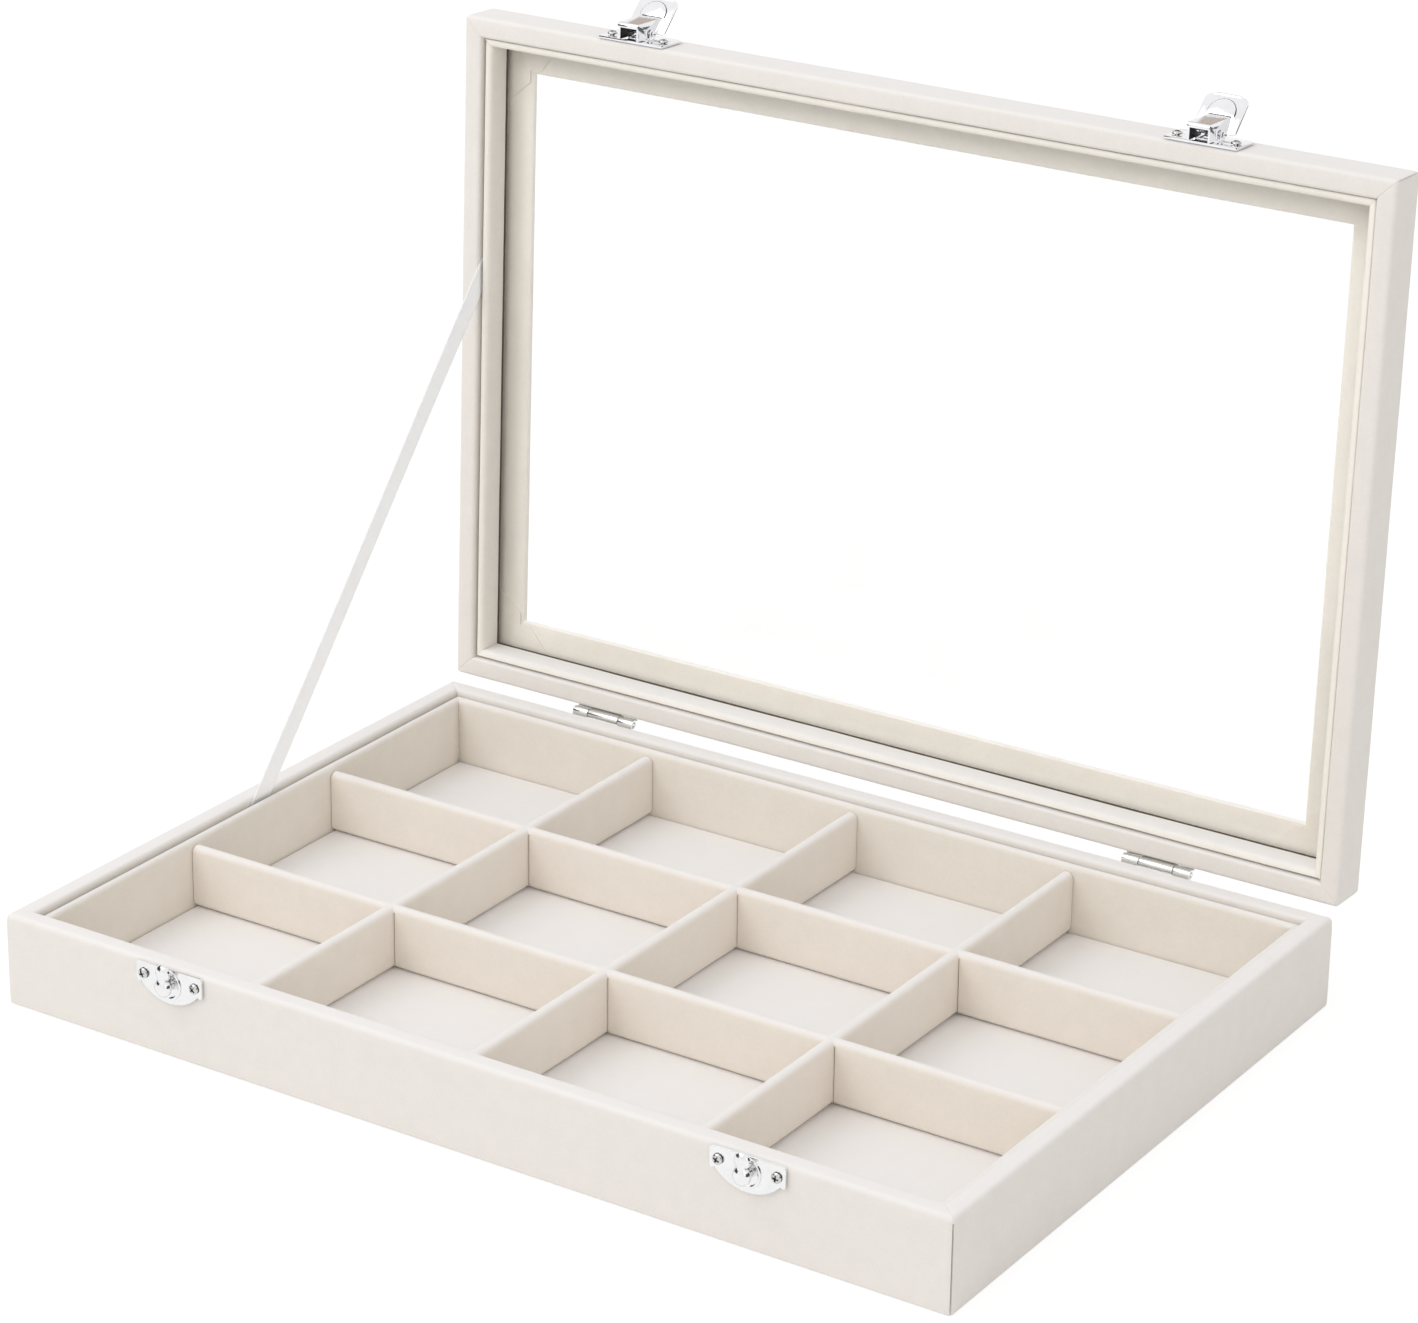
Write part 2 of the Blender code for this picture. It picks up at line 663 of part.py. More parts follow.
def strike_outline():
    """Straight top edge, a tab at each end and a shallow round belly between them."""
    half = STRIKE_WIDTH / 2
    shoulder = half - STRIKE_TAB_WIDTH
    sag = STRIKE_TOTAL_HEIGHT - STRIKE_TAB_HEIGHT + STRIKE_NICK
    belly = (shoulder**2 + sag**2) / (2 * sag)
    swing = math.asin(shoulder / belly)
    centre = (0, belly - STRIKE_TOTAL_HEIGHT)
    curve = arc(centre, belly, -QUARTER_TURN - swing, swing - QUARTER_TURN, 12)
    corner = (half - STRIKE_RADIUS, STRIKE_RADIUS - STRIKE_TAB_HEIGHT)
    right_tab = arc(corner, STRIKE_RADIUS, -QUARTER_TURN, 0, 3)
    right_top = arc((half - STRIKE_RADIUS, -STRIKE_RADIUS), STRIKE_RADIUS, 0, QUARTER_TURN, 3)
    right = right_tab + right_top
    left = [(-x, y) for x, y in reversed(right)]
    return curve + right + left


def boss_mesh(sunk, matrix):
    """The boss: a low dome inside a round bead, its foot sunk in the plate."""
    groove = STRIKE_FACE + BOSS_GROOVE_HEIGHT
    rise = BOSS_HEIGHT - BOSS_GROOVE_HEIGHT
    ball = (BOSS_CAP_RADIUS**2 + rise**2) / (2 * rise)
    edge = math.asin(BOSS_CAP_RADIUS / ball)
    cap = arc((0, groove + rise - ball), ball, QUARTER_TURN, QUARTER_TURN - edge, BOSS_STEPS)
    bead = arc((BOSS_RADIUS - BOSS_BEAD_RADIUS, groove), BOSS_BEAD_RADIUS, 2 * QUARTER_TURN, 0, BOSS_STEPS)
    profile = [(0, groove + rise), *cap[1:], *bead, (BOSS_RADIUS, sunk), (0, sunk)]
    return turned_mesh("strike_boss", profile, 2 * SCREW_SIDES, matrix)


def strike_mesh():
    """The stamped strike plate with its ringed boss, bored for the knob's stem."""
    holes = [
        circle((side * STRIKE_SCREW_SPACING / 2, -STRIKE_SCREW_DROP), SCREW_SHANK_RADIUS + SEAM_GAP)
        for side in SIDES.values()
    ]
    place = Matrix.Translation((0, 0, SEAM_GAP))
    plate = outline_mesh("strike_plate", [strike_outline(), *holes], STRIKE_THICKNESS, place)
    centre = Matrix.Translation((0, -BOSS_DROP, 0))
    boss = boss_mesh(STRIKE_FACE - STRIKE_THICKNESS / 2, centre)
    plate = combined_mesh("strike_plate", plate, [boss], "UNION")
    bore_length = 2 * (STRIKE_FACE + BOSS_HEIGHT)
    bore = cylinder_mesh("strike_bore", KNOB_STEM_RADIUS + SEAM_GAP, bore_length, centre, KNOB_SIDES)
    return combined_mesh("strike_plate", plate, [bore], "DIFFERENCE")


def ball_mesh(name, width, length, thickness, matrix):
    """A ball flattened to its width along X, length along Y and thickness along Z."""
    bm = bmesh.new()
    rings = KNOB_SIDES // 2
    bmesh.ops.create_uvsphere(bm, u_segments=KNOB_SIDES, v_segments=rings, radius=width / 2)
    bm.transform(matrix @ Matrix.Diagonal((1, length / width, thickness / width, 1)))
    mesh = bpy.data.meshes.new(name)
    bm.to_mesh(mesh)
    bm.free()
    return mesh


def knob_mesh():
    """A hooked knob: a stem from the wall, a ball over the boss, and a head that stands above it."""
    ball_place = Vector((0, -BOSS_DROP, KNOB_BALL_OUT))
    head_place = Vector((0, -KNOB_HEAD_DROP, KNOB_OUT))
    foot = Vector((0, -BOSS_DROP, -KNOB_STEM_DEPTH))
    width = 2 * KNOB_BALL_RADIUS
    place = Matrix.Translation(ball_place)
    ball = ball_mesh("knob_ball", width, width, KNOB_BALL_THICKNESS, place)
    place = Matrix.Translation(head_place)
    head = ball_mesh("knob_head", KNOB_HEAD_WIDTH, KNOB_HEAD_LENGTH, KNOB_HEAD_THICKNESS, place)
    stem = tube_mesh("knob_stem", [foot, ball_place], KNOB_STEM_RADIUS, 4)
    neck = tube_mesh("knob_neck", [ball_place, head_place], KNOB_NECK_RADIUS, 4)
    return combined_mesh("strike_knob", ball, [head, stem, neck], "UNION")


def add_strikes():
    plate = strike_mesh()
    knob = knob_mesh()
    screw = screw_mesh("strike_screw", STRIKE_FACE + SEAM_GAP)
    for name, x in LATCH_PLACES.items():
        frame = front_frame(x, STRIKE_TOP)
        add_part(f"strike_plate_{name}", plate, STRIKE_CHROME, frame)
        add_part(f"strike_knob_{name}", knob, STRIKE_CHROME, frame)
        add_screws(f"strike_screw_{name}", screw, strike_screw_frames(x))


# Lid


def add_lid_walls(carrier):
    """Four mitred walls whose rounded rims meet the tray's."""
    top = LID_BASE + LID_WALL_TOP
    walls = {}
    for side, (matrix, length) in side_frames(CASE_WIDTH, CASE_DEPTH).items():
        name = f"lid_{side}_wall"
        mesh = bar_mesh(name, length, WALL_THICKNESS, LID_BASE, top, CORNER_RADIUS)
        round_bar(mesh, LID_BASE, RIM_RADIUS, 5, WALL_THICKNESS)
        walls[side] = add_part(name, mesh, WALL_VELVET, matrix, carrier)
    cut(walls["front"], screw_holes("latch_screw_holes", ALL_LATCH_SCREWS), carrier)
    cut(walls["back"], screw_holes("lid_hinge_screw_holes", LID_HINGE_SCREWS), carrier)


def add_face_frame(carrier):
    """The covered board that frames the window on the lid's outer face."""
    x = CASE_WIDTH / 2
    y = CASE_DEPTH / 2
    outer = rounded_rectangle((-x, -y), (x, y), (CORNER_RADIUS, CORNER_RADIUS), 6)
    low = LID_BASE + LID_HEIGHT - FACE_FRAME_THICKNESS
    high = LID_BASE + LID_HEIGHT
    place = Matrix.Translation((0, 0, low))
    board = outline_mesh("lid_face_frame", [outer], FACE_FRAME_THICKNESS, place)
    round_edges(board, FACE_RADIUS, 4, lambda a, b: level(high, a, b))
    x -= FACE_FRAME_BORDER
    y -= FACE_FRAME_BORDER
    window = box_mesh("window", (-x, -y, low - CUT_OVERRUN), (x, y, high + CUT_OVERRUN))
    board = combined_mesh("lid_face_frame", board, [window], "DIFFERENCE")
    across = x + WELD_DISTANCE
    upright = y + WELD_DISTANCE

    def window_edge(a, b):
        inside = max(abs(a.x), abs(b.x)) < across and max(abs(a.y), abs(b.y)) < upright
        return inside and (level(low, a, b) or level(high, a, b))

    round_edges(board, WINDOW_RADIUS, 2, window_edge)
    add_part("lid_face_frame", board, WALL_VELVET, Matrix(), carrier)


def add_pane(carrier):
    """The clear pane that lies behind the window."""
    x = CASE_WIDTH / 2 - LINER_INSET
    y = CASE_DEPTH / 2 - LINER_INSET
    low = LID_BASE + PANE_BOTTOM
    pane = box_mesh("lid_pane", (-x, -y, low), (x, y, low + PANE_THICKNESS))
    add_part("lid_pane", pane, CLEAR_PANE, Matrix(), carrier)


def add_lid_liners(carrier):
    """Covered strips that hold the pane, set back from the rim."""
    low = LID_BASE + LID_LINER_DROP
    high = LID_BASE + PANE_BOTTOM - SEAM_GAP
    width = CASE_WIDTH - 2 * LINER_INSET
    depth = CASE_DEPTH - 2 * LINER_INSET
    for side, (matrix, length) in side_frames(width, depth).items():
        name = f"lid_{side}_liner"
        mesh = bar_mesh(name, length, LID_LINER_THICKNESS, low, high)
        round_bar(mesh, low, LINER_RADIUS, 3, LID_LINER_THICKNESS)
        liner = add_part(name, mesh, LINER_VELVET, matrix, carrier)
        if side == "left":
            y = CASE_DEPTH / 2 - RIBBON_LID_REACH - (NOTCH_WIDTH - RIBBON_WIDTH) / 4
            notch = ribbon_notch("lid_ribbon_notch", -width / 2, low - CUT_OVERRUN, low + NOTCH_DEPTH, y)
            cut(liner, notch, carrier)


# Hinges


def leaf_outline():
    """Side view of a leaf about the pin's axis: a flat strip whose end is rolled round the pin."""
    inner = HINGE_PIN_RADIUS + SEAM_GAP
    outer = HINGE_KNUCKLE_RADIUS
    start = 2 * QUARTER_TURN
    outside = arc((0, 0), outer, start, HINGE_CURL_END, HINGE_CURL_STEPS)
    inside = arc((0, 0), inner, HINGE_CURL_END, start, HINGE_CURL_STEPS)
    foot = -HINGE_LEAF_HEIGHT
    return [(-outer, foot), *outside, *inside, (-inner, foot)]


def leaf_mesh(name, keep_middle):
    """A rolled leaf along X, notched where the other leaf's knuckles go."""
    half = HINGE_LENGTH / 2
    place = SIDEWAYS @ Matrix.Translation((0, 0, -half))
    leaf = outline_mesh(name, [leaf_outline()], HINGE_LENGTH, place)
    side = HINGE_KNUCKLE_RADIUS + CUT_OVERRUN
    foot = -HINGE_KNUCKLE_RADIUS - SEAM_GAP
    middle = HINGE_MIDDLE_KNUCKLE / 2
    if keep_middle:
        outer = half + CUT_OVERRUN
        spans = [(-outer, -middle), (middle, outer)]
    else:
        spans = [(-middle - SEAM_GAP, middle + SEAM_GAP)]
    notches = [box_mesh(name, (low, -side, foot), (high, side, side)) for low, high in spans]
    leaf = combined_mesh(name, leaf, notches, "DIFFERENCE")
    turn = Matrix.Rotation(QUARTER_TURN, 4, "X")
    radius = SCREW_SHANK_RADIUS + SEAM_GAP
    holes = []
    for direction in SIDES.values():
        x = direction * HINGE_SCREW_SPACING / 2
        place = Matrix.Translation((x, -HINGE_KNUCKLE_RADIUS, -HINGE_SCREW_REACH)) @ turn
        holes.append(cylinder_mesh(name, radius, 2 * HINGE_KNUCKLE_RADIUS, place))
    return combined_mesh(name, leaf, holes, "DIFFERENCE")


def hinge_pin_mesh():
    """The hinge pin, along X."""
    turn = Matrix.Rotation(QUARTER_TURN, 4, "Y")
    return cylinder_mesh("hinge_pin", HINGE_PIN_RADIUS, HINGE_LENGTH, turn)


def add_hinges(carrier):
    """Two butt hinges. The tray's leaves hold the end knuckles and the pins."""
    tray_leaf = leaf_mesh("tray_leaf", False)
    lid_leaf = leaf_mesh("lid_leaf", True)
    lid_leaf.transform(Matrix.Rotation(2 * QUARTER_TURN, 4, "X") @ Matrix.Rotation(2 * QUARTER_TURN, 4, "Z"))
    pin = hinge_pin_mesh()
    seat = SEAM_GAP + HINGE_SHEET + SEAM_GAP
    screw = screw_mesh("hinge_screw", seat)
    for name, x in HINGE_PLACES.items():
        place = Matrix.Translation((x, HINGE_Y, HINGE_Z))
        add_part(f"hinge_tray_leaf_{name}", tray_leaf, HINGE_NICKEL, place)
        add_part(f"hinge_lid_leaf_{name}", lid_leaf, HINGE_NICKEL, place, carrier)
        add_part(f"hinge_pin_{name}", pin, HINGE_NICKEL, place)
        add_screws(f"hinge_tray_screw_{name}", screw, hinge_screw_frames(x, -1))
        add_screws(f"hinge_lid_screw_{name}", screw, hinge_screw_frames(x, 1), carrier)


# Latches, drawn in x, height above the lid's rim, and distance out from its front face


def latch_frame(x):
    return front_frame(x, LID_BASE)


def latch_plate_mesh():
    """The base plate with an ear at each side of the lever."""
    half = LATCH_PLATE_WIDTH / 2
    low = SEAM_GAP
    outline = rounded_rectangle(
        (-half, low), (half, low + LATCH_PLATE_HEIGHT), (LATCH_PLATE_RADIUS, LATCH_PLATE_RADIUS), 3
    )
    holes = [
        circle((side * LATCH_SCREW_SPACING / 2, LATCH_SCREW_HEIGHT), SCREW_SHANK_RADIUS + SEAM_GAP)
        for side in SIDES.values()
    ]
    place = Matrix.Translation((0, 0, SEAM_GAP))
    plate = outline_mesh("latch_plate", [outline, *holes], LATCH_PLATE_THICKNESS, place)
    radius = COIL_OUTER
    foot = LATCH_TOP - LATCH_PLATE_THICKNESS / 2
    lug = [(PIN_HEIGHT - radius, foot), (PIN_HEIGHT + radius, foot)]
    lug += arc((PIN_HEIGHT, PIN_OUT), radius, 0, 2 * QUARTER_TURN, 8)
    bore = circle((PIN_HEIGHT, PIN_OUT), PIN_HOLE_RADIUS)
    inner = SOCKET_WIDTH / 2 + SEAM_GAP
    ears = []
    for x in (-inner - EAR_THICKNESS, inner):
        place = SIDEWAYS @ Matrix.Translation((0, 0, x))
        ears.append(outline_mesh("latch_ear", [lug, bore], EAR_THICKNESS, place))
    return combined_mesh("latch_plate", plate, ears, "UNION")


def blade_point(along, out):
    """Height and distance out of a point given along the blade and out from the pin's axis."""
    height = PIN_HEIGHT + along * math.cos(BLADE_ANGLE) - out * math.sin(BLADE_ANGLE)
    return (height, PIN_OUT + along * math.sin(BLADE_ANGLE) + out * math.cos(BLADE_ANGLE))


def along_blade(out_level, out):
    """How far along the blade a line at one distance out from the lid's face meets it."""
    return (out_level - PIN_OUT - out * math.cos(BLADE_ANGLE)) / math.sin(BLADE_ANGLE)


def socket_roof_outline():
    """Side view of the socket's outer wall, curled in at its mouth to make the catching lip."""
    out = LATCH_TOP + SEAM_GAP
    top = SOCKET_HEIGHT
    under = top - SOCKET_SHEET
    middle = BLADE_FRONT - BLADE_THICKNESS / 2
    mouth = -SOCKET_OVERHANG
    centre = (mouth + LIP_RADIUS, top - LIP_RADIUS)
    outer = arc(centre, LIP_RADIUS, QUARTER_TURN, 2 * QUARTER_TURN, 4)
    inner = arc(centre, LIP_RADIUS - SOCKET_SHEET, 2 * QUARTER_TURN, QUARTER_TURN, 3)
    tip = max(top - LIP_DEPTH, out)
    rear_top = blade_point(along_blade(top, middle), middle)
    rear_under = blade_point(along_blade(under, middle), middle)
    return [rear_top, *outer, (mouth, tip), (mouth + SOCKET_SHEET, tip), *inner, rear_under]


def socket_cheek_outline():
    """Side view of the socket's side walls, rounded about the pin where they clear the plate."""
    low = LATCH_TOP + SEAM_GAP
    front = -SOCKET_OVERHANG + LIP_RADIUS - SOCKET_SHEET / 2
    top = SOCKET_HEIGHT - SOCKET_SHEET / 2
    middle = BLADE_FRONT - BLADE_THICKNESS / 2
    rear_top = blade_point(along_blade(top, middle), middle)
    rear_low = blade_point(BLADE_FOOT + BLADE_THICKNESS / 2, middle)
    heel = arc((PIN_HEIGHT, PIN_OUT), PIN_OUT - low, CHEEK_HEEL_START, -QUARTER_TURN, 4)
    return [rear_top, rear_low, *heel, (front, low), (front, top)]


def lever_mesh():
    """The stamped lever: a sprung socket that drops over the knob, and a blade for the thumb."""
    pin_frame = Matrix.Translation((0, PIN_HEIGHT, PIN_OUT)) @ Matrix.Rotation(BLADE_ANGLE, 4, "X")
    half = BLADE_WIDTH / 2
    back = BLADE_FRONT - BLADE_THICKNESS
    outline = rounded_rectangle(
        (-half, BLADE_FOOT), (half, BLADE_TIP), (BLADE_FOOT_RADIUS, BLADE_TIP_RADIUS), 5
    )
    place = pin_frame @ Matrix.Translation((0, 0, back))
    blade = outline_mesh("latch_lever", [outline], BLADE_THICKNESS, place)
    arch_half = ARCH_WIDTH / 2
    foot = along_blade(SOCKET_HEIGHT, BLADE_FRONT)
    crown = BLADE_TIP - ARCH_MARGIN - arch_half
    arch = [(-arch_half, foot), (arch_half, foot), *arc((0, crown), arch_half, 0, 2 * QUARTER_TURN, 10)]
    place = pin_frame @ Matrix.Translation((0, 0, BLADE_FRONT - BLADE_THICKNESS / 2))
    relief = outline_mesh("latch_arch", [arch], BLADE_THICKNESS / 2 + ARCH_RELIEF, place)
    turn = Matrix.Rotation(QUARTER_TURN, 4, "Y")
    place = pin_frame @ Matrix.Translation((0, BLADE_TIP, back)) @ turn
    roll = cylinder_mesh("latch_roll", ROLL_RADIUS, ROLL_LENGTH, place)
    socket_half = SOCKET_WIDTH / 2
    place = SIDEWAYS @ Matrix.Translation((0, 0, -socket_half))
    roof = outline_mesh("latch_roof", [socket_roof_outline()], SOCKET_WIDTH, place)
    bore = circle((PIN_HEIGHT, PIN_OUT), PIN_HOLE_RADIUS)
    cheeks = []
    for x in (-socket_half, socket_half - SOCKET_SHEET):
        place = SIDEWAYS @ Matrix.Translation((0, 0, x))
        cheeks.append(outline_mesh("latch_cheek", [socket_cheek_outline(), bore], SOCKET_SHEET, place))
    return combined_mesh("latch_lever", blade, [relief, roll, roof, *cheeks], "UNION")


def latch_pin_mesh():
    """The headed pin through the ears and the lever, along X."""
    shank = SOCKET_WIDTH / 2 + SEAM_GAP + EAR_THICKNESS + SEAM_GAP
    end = shank + PIN_HEAD_LENGTH
    half = [(0, end), (PIN_HEAD_RADIUS, end), (PIN_HEAD_RADIUS, shank), (PIN_RADIUS, shank)]
    profile = half + [(radius, -height) for radius, height in reversed(half)]
    place = Matrix.Translation((0, PIN_HEIGHT, PIN_OUT)) @ Matrix.Rotation(QUARTER_TURN, 4, "Y")
    return turned_mesh("latch_pin", profile, SCREW_SIDES, place)


def spring_points():
    """Centre line of the torsion spring: a leg on the plate, the coil, a leg under the roof."""
    turns = COIL_FULL_TURNS + 0.5
    width = turns * COIL_PITCH
    steps = round(turns * COIL_STEPS)
    start = -QUARTER_TURN
    coil = []
    for step in range(steps + 1):
        turn = start + math.tau * turns * step / steps
        height = PIN_HEIGHT + COIL_RADIUS * math.cos(turn)
        out = PIN_OUT + COIL_RADIUS * math.sin(turn)
        coil.append((width * (step / steps - 0.5), height, out))
    first, last = coil[0], coil[-1]
    plate_leg = (first[0], first[1] - SPRING_LEG, first[2])
    roof_out = SOCKET_HEIGHT - SOCKET_SHEET - SEAM_GAP - WIRE_RADIUS
    roof_leg = (last[0], last[1] - SPRING_LEG, roof_out)
    return [plate_leg, *coil, roof_leg]


def print_least_gap(points):
    """The least room between two turns of the wire, measured on its points."""
    apart = COIL_STEPS // 2
    gaps = [
        math.dist(points[i], points[j]) - 2 * WIRE_RADIUS
        for i in range(len(points))
        for j in range(i + apart, len(points))
    ]
    print("least gap between spring turns (mm):", round(min(gaps) * MM_PER_METRE, 3))


def add_latches(carrier):
    """A base plate, lever, pin, spring and two screws at each side of the lid's front."""
    plate = latch_plate_mesh()
    lever = lever_mesh()
    pin = latch_pin_mesh()
    points = spring_points()
    print_least_gap(points)
    spring = tube_mesh("latch_spring", points, WIRE_RADIUS, 1)
    screw = screw_mesh("latch_screw", LATCH_SCREW_SEAT)
    for name, x in LATCH_PLACES.items():
        frame = latch_frame(x)
        axis = frame @ Vector((0, PIN_HEIGHT, PIN_OUT))
        lever_pivot = pivot(f"latch_pivot_{name}", axis, carrier)
        add_part(f"latch_plate_{name}", plate, LATCH_CHROME, frame, carrier)
        add_part(f"latch_lever_{name}", lever, LATCH_CHROME, frame, lever_pivot)
        add_part(f"latch_pin_{name}", pin, LATCH_CHROME, frame, carrier)
        add_part(f"latch_spring_{name}", spring, SPRING_WIRE, frame, carrier)
        add_screws(f"latch_screw_{name}", screw, latch_screw_frames(x), carrier)


# Ribbon


def add_ribbon():
    """A flat stay from the tray's left wall to the lid's, its tails tucked behind the liners."""
    start = Vector((RIBBON_TRAY_Y, TRAY_HEIGHT))
    reach = CASE_DEPTH / 2 - RIBBON_LID_REACH - HINGE_Y
    rise = LID_BASE - HINGE_Z
    cosine = math.cos(LID_OPEN_ANGLE)
    sine = math.sin(LID_OPEN_ANGLE)
    end = Vector((HINGE_Y + reach * cosine + rise * sine, HINGE_Z - reach * sine + rise * cosine))
    along = (end - start).normalized()
    across = Vector((-along.y, along.x)) * (RIBBON_WIDTH / 2)
    low = start - along * RIBBON_TAIL
    high = end + along * RIBBON_TAIL
    outline = [low - across, high - across, high + across, low + across]
    x = -CASE_WIDTH / 2 + WALL_THICKNESS + SEAM_GAP
    place = SIDEWAYS @ Matrix.Translation((0, 0, x))
    loop = [tuple(point) for point in outline]
    add_part("lid_ribbon", outline_mesh("lid_ribbon", [loop], RIBBON_THICKNESS, place), RIBBON_SATIN)
    print("ribbon free length (mm):", round((end - start).length * MM_PER_METRE, 1))


def main():
    lid_pivot = pivot("lid_pivot", (0, HINGE_Y, HINGE_Z))
    add_tray_walls()
    add_tray_floor()
    add_tray_liners()
    add_dividers()
    add_strikes()
    add_lid_walls(lid_pivot)
    add_face_frame(lid_pivot)
    add_pane(lid_pivot)
    add_lid_liners(lid_pivot)
    add_hinges(lid_pivot)
    add_latches(lid_pivot)
    add_ribbon()
    lid_pivot.rotation_euler.x = -LID_OPEN_ANGLE
    bpy.context.view_layer.update()
    for name in ("lid_pivot", "latch_pivot_left", "latch_pivot_right"):
        place = bpy.data.objects[name].matrix_world.translation
        print(name, [round(value, 6) for value in place])


main()
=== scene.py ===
import json
import math

import bmesh
import bpy
from mathutils import Matrix, Vector, noise
from mathutils.bvhtree import BVHTree


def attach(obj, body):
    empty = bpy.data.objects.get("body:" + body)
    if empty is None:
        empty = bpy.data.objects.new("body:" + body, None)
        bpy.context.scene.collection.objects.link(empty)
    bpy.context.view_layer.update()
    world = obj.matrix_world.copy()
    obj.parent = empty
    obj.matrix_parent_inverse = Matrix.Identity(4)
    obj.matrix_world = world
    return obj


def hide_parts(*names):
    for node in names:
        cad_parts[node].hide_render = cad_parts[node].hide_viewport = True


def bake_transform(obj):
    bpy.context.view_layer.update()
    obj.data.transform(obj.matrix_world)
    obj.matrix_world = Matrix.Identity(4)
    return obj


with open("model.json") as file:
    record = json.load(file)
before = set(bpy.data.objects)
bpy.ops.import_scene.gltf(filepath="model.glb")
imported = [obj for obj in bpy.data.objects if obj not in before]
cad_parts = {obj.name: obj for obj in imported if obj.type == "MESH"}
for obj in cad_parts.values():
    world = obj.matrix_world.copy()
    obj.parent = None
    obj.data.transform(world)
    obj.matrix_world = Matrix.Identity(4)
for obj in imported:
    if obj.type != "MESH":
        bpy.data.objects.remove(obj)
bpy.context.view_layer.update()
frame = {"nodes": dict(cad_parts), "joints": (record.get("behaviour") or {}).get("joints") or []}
print("frame loaded:", len(frame["nodes"]), "nodes")

nodes = frame["nodes"]
joints = {joint["name"]: joint for joint in frame["joints"]}
mm = 0.001

# the lid stands open at rest: lid pieces are drawn shut, then turned about the hinge pins
hingePlace = Vector(joints["lid_hinge"]["pos_m"])
openAngle = math.radians(joints["lid_hinge"]["range_deg"][1])
toHinge = Matrix.Translation(hingePlace)
lidTurn = toHinge @ Matrix.Rotation(-openAngle, 4, "X") @ Matrix.Translation(-hingePlace)
lidBack = lidTurn.inverted()
unturned = Matrix()


def intoScene(name, data):
    thing = bpy.data.objects.new(name, data)
    bpy.context.scene.collection.objects.link(thing)
    return thing


# camera: the place and turn that the photograph was taken from
cameraPlace = {
    "location": (0.7279, -1.0995, 0.6538),
    "azimuth": 32.87,
    "elevation": 21.27,
    "roll": 0.80,
    "focalPixels": 4554.9,
    "centrePixels": (722.1, 597.8),
    "imageSize": (1418, 1323),
    "sensorWidth": 36.0,
    "clip": (0.05, 20),
}


def addCamera(place):
    data = bpy.data.cameras.new("camera")
    camera = intoScene("camera", data)
    wide, high = place["imageSize"]
    data.sensor_fit = "HORIZONTAL"
    data.sensor_width = place["sensorWidth"]
    data.lens = place["focalPixels"] / wide * data.sensor_width
    data.shift_x = (wide / 2 - place["centrePixels"][0]) / wide
    data.shift_y = (place["centrePixels"][1] - high / 2) / wide
    data.clip_start, data.clip_end = place["clip"]
    around, up = math.radians(place["azimuth"]), math.radians(place["elevation"])
    forward = Vector((-math.sin(around) * math.cos(up), math.cos(around) * math.cos(up), -math.sin(up)))
    turn = forward.to_track_quat("-Z", "Y").to_matrix().to_4x4()
    roll = Matrix.Rotation(math.radians(place["roll"]), 4, "Z")
    camera.matrix_world = Matrix.Translation(place["location"]) @ turn @ roll
    bpy.context.scene.camera = camera


addCamera(cameraPlace)
print("camera placed")

# light: a pale even sky, one broad soft lamp in front at the left and a weak one at the right
lightSizes = {
    "skyLevel": 0.745,
    "target": (0, 0, 0.06),  # where both lamps point
    "keyLamp": {"place": (-0.80, -1.10, 1.60), "size": 1.5, "power": 12.5, "colour": (1.0, 1.0, 1.0)},
    "fillLamp": {"place": (1.2, -1.3, 0.8), "size": 1.2, "power": 1.7, "colour": (1.0, 0.94, 0.82)},
}

floorSizes = {
    "reach": 6.0,
    "drop": 0.2 * mm,  # keeps it clear of the underside
    "colour": (0.9, 0.9, 0.9, 1.0),
    "whiteShare": 0.72,  # the rest takes the object's shadow
    "level": 1.14,
}

# boards beside the set that only bright metal shows
darkShade, beigeShade = (0.02, 0.02, 0.02), (0.62, 0.53, 0.47)
cards = {
    "darkCardRight": (darkShade, [(1.3, -1.6, 0.02), (1.3, 1.2, 0.02), (1.3, 1.2, 0.9), (1.3, -1.6, 0.9)]),
    "darkCardLeft": (darkShade, [(-1.3, -1.6, 0.02), (-1.3, 0.6, 0.02), (-1.3, 0.6, 0.8), (-1.3, -1.6, 0.8)]),
    "darkCardLow": (darkShade, [(0.22, 0.4, 0.004), (1.2, 0.4, 0.004), (1.2, 1.3, 0.004), (0.22, 1.3, 0.004)]),
    "beigeCardBack": (beigeShade, [(-1.7, 1.4, 0.8), (0.3, 1.4, 0.8), (0.3, 1.4, 1.5), (-1.7, 1.4, 1.5)]),
}


def setSockets(node, values):
    for name, value in values.items():
        node.inputs[name].default_value = value


def addMath(tree, operation, first, second):
    node = tree.nodes.new("ShaderNodeMath")
    node.operation = operation
    for socket, value in zip(node.inputs, (first, second)):
        if isinstance(value, float):
            socket.default_value = value
        else:
            tree.links.new(value, socket)
    return node.outputs[0]


def seenAsWhite(tree):  # 1 for what the camera sees straight, in a mirror or through the pane
    path = tree.nodes.new("ShaderNodeLightPath")
    seen = addMath(tree, "MAXIMUM", path.outputs["Is Camera Ray"], path.outputs["Is Glossy Ray"])
    return addMath(tree, "MAXIMUM", seen, path.outputs["Is Transmission Ray"])


def mixSurfaces(tree, share, first, second, out):
    mix = tree.nodes.new("ShaderNodeMixShader")
    tree.links.new(share, mix.inputs["Fac"])
    tree.links.new(first.outputs[0], mix.inputs[1])
    tree.links.new(second.outputs[0], mix.inputs[2])
    tree.links.new(mix.outputs[0], out.inputs["Surface"])


def addSky(tree, level):
    node = tree.nodes.new("ShaderNodeBackground")
    setSockets(node, {"Color": (1, 1, 1, 1), "Strength": level})
    return node


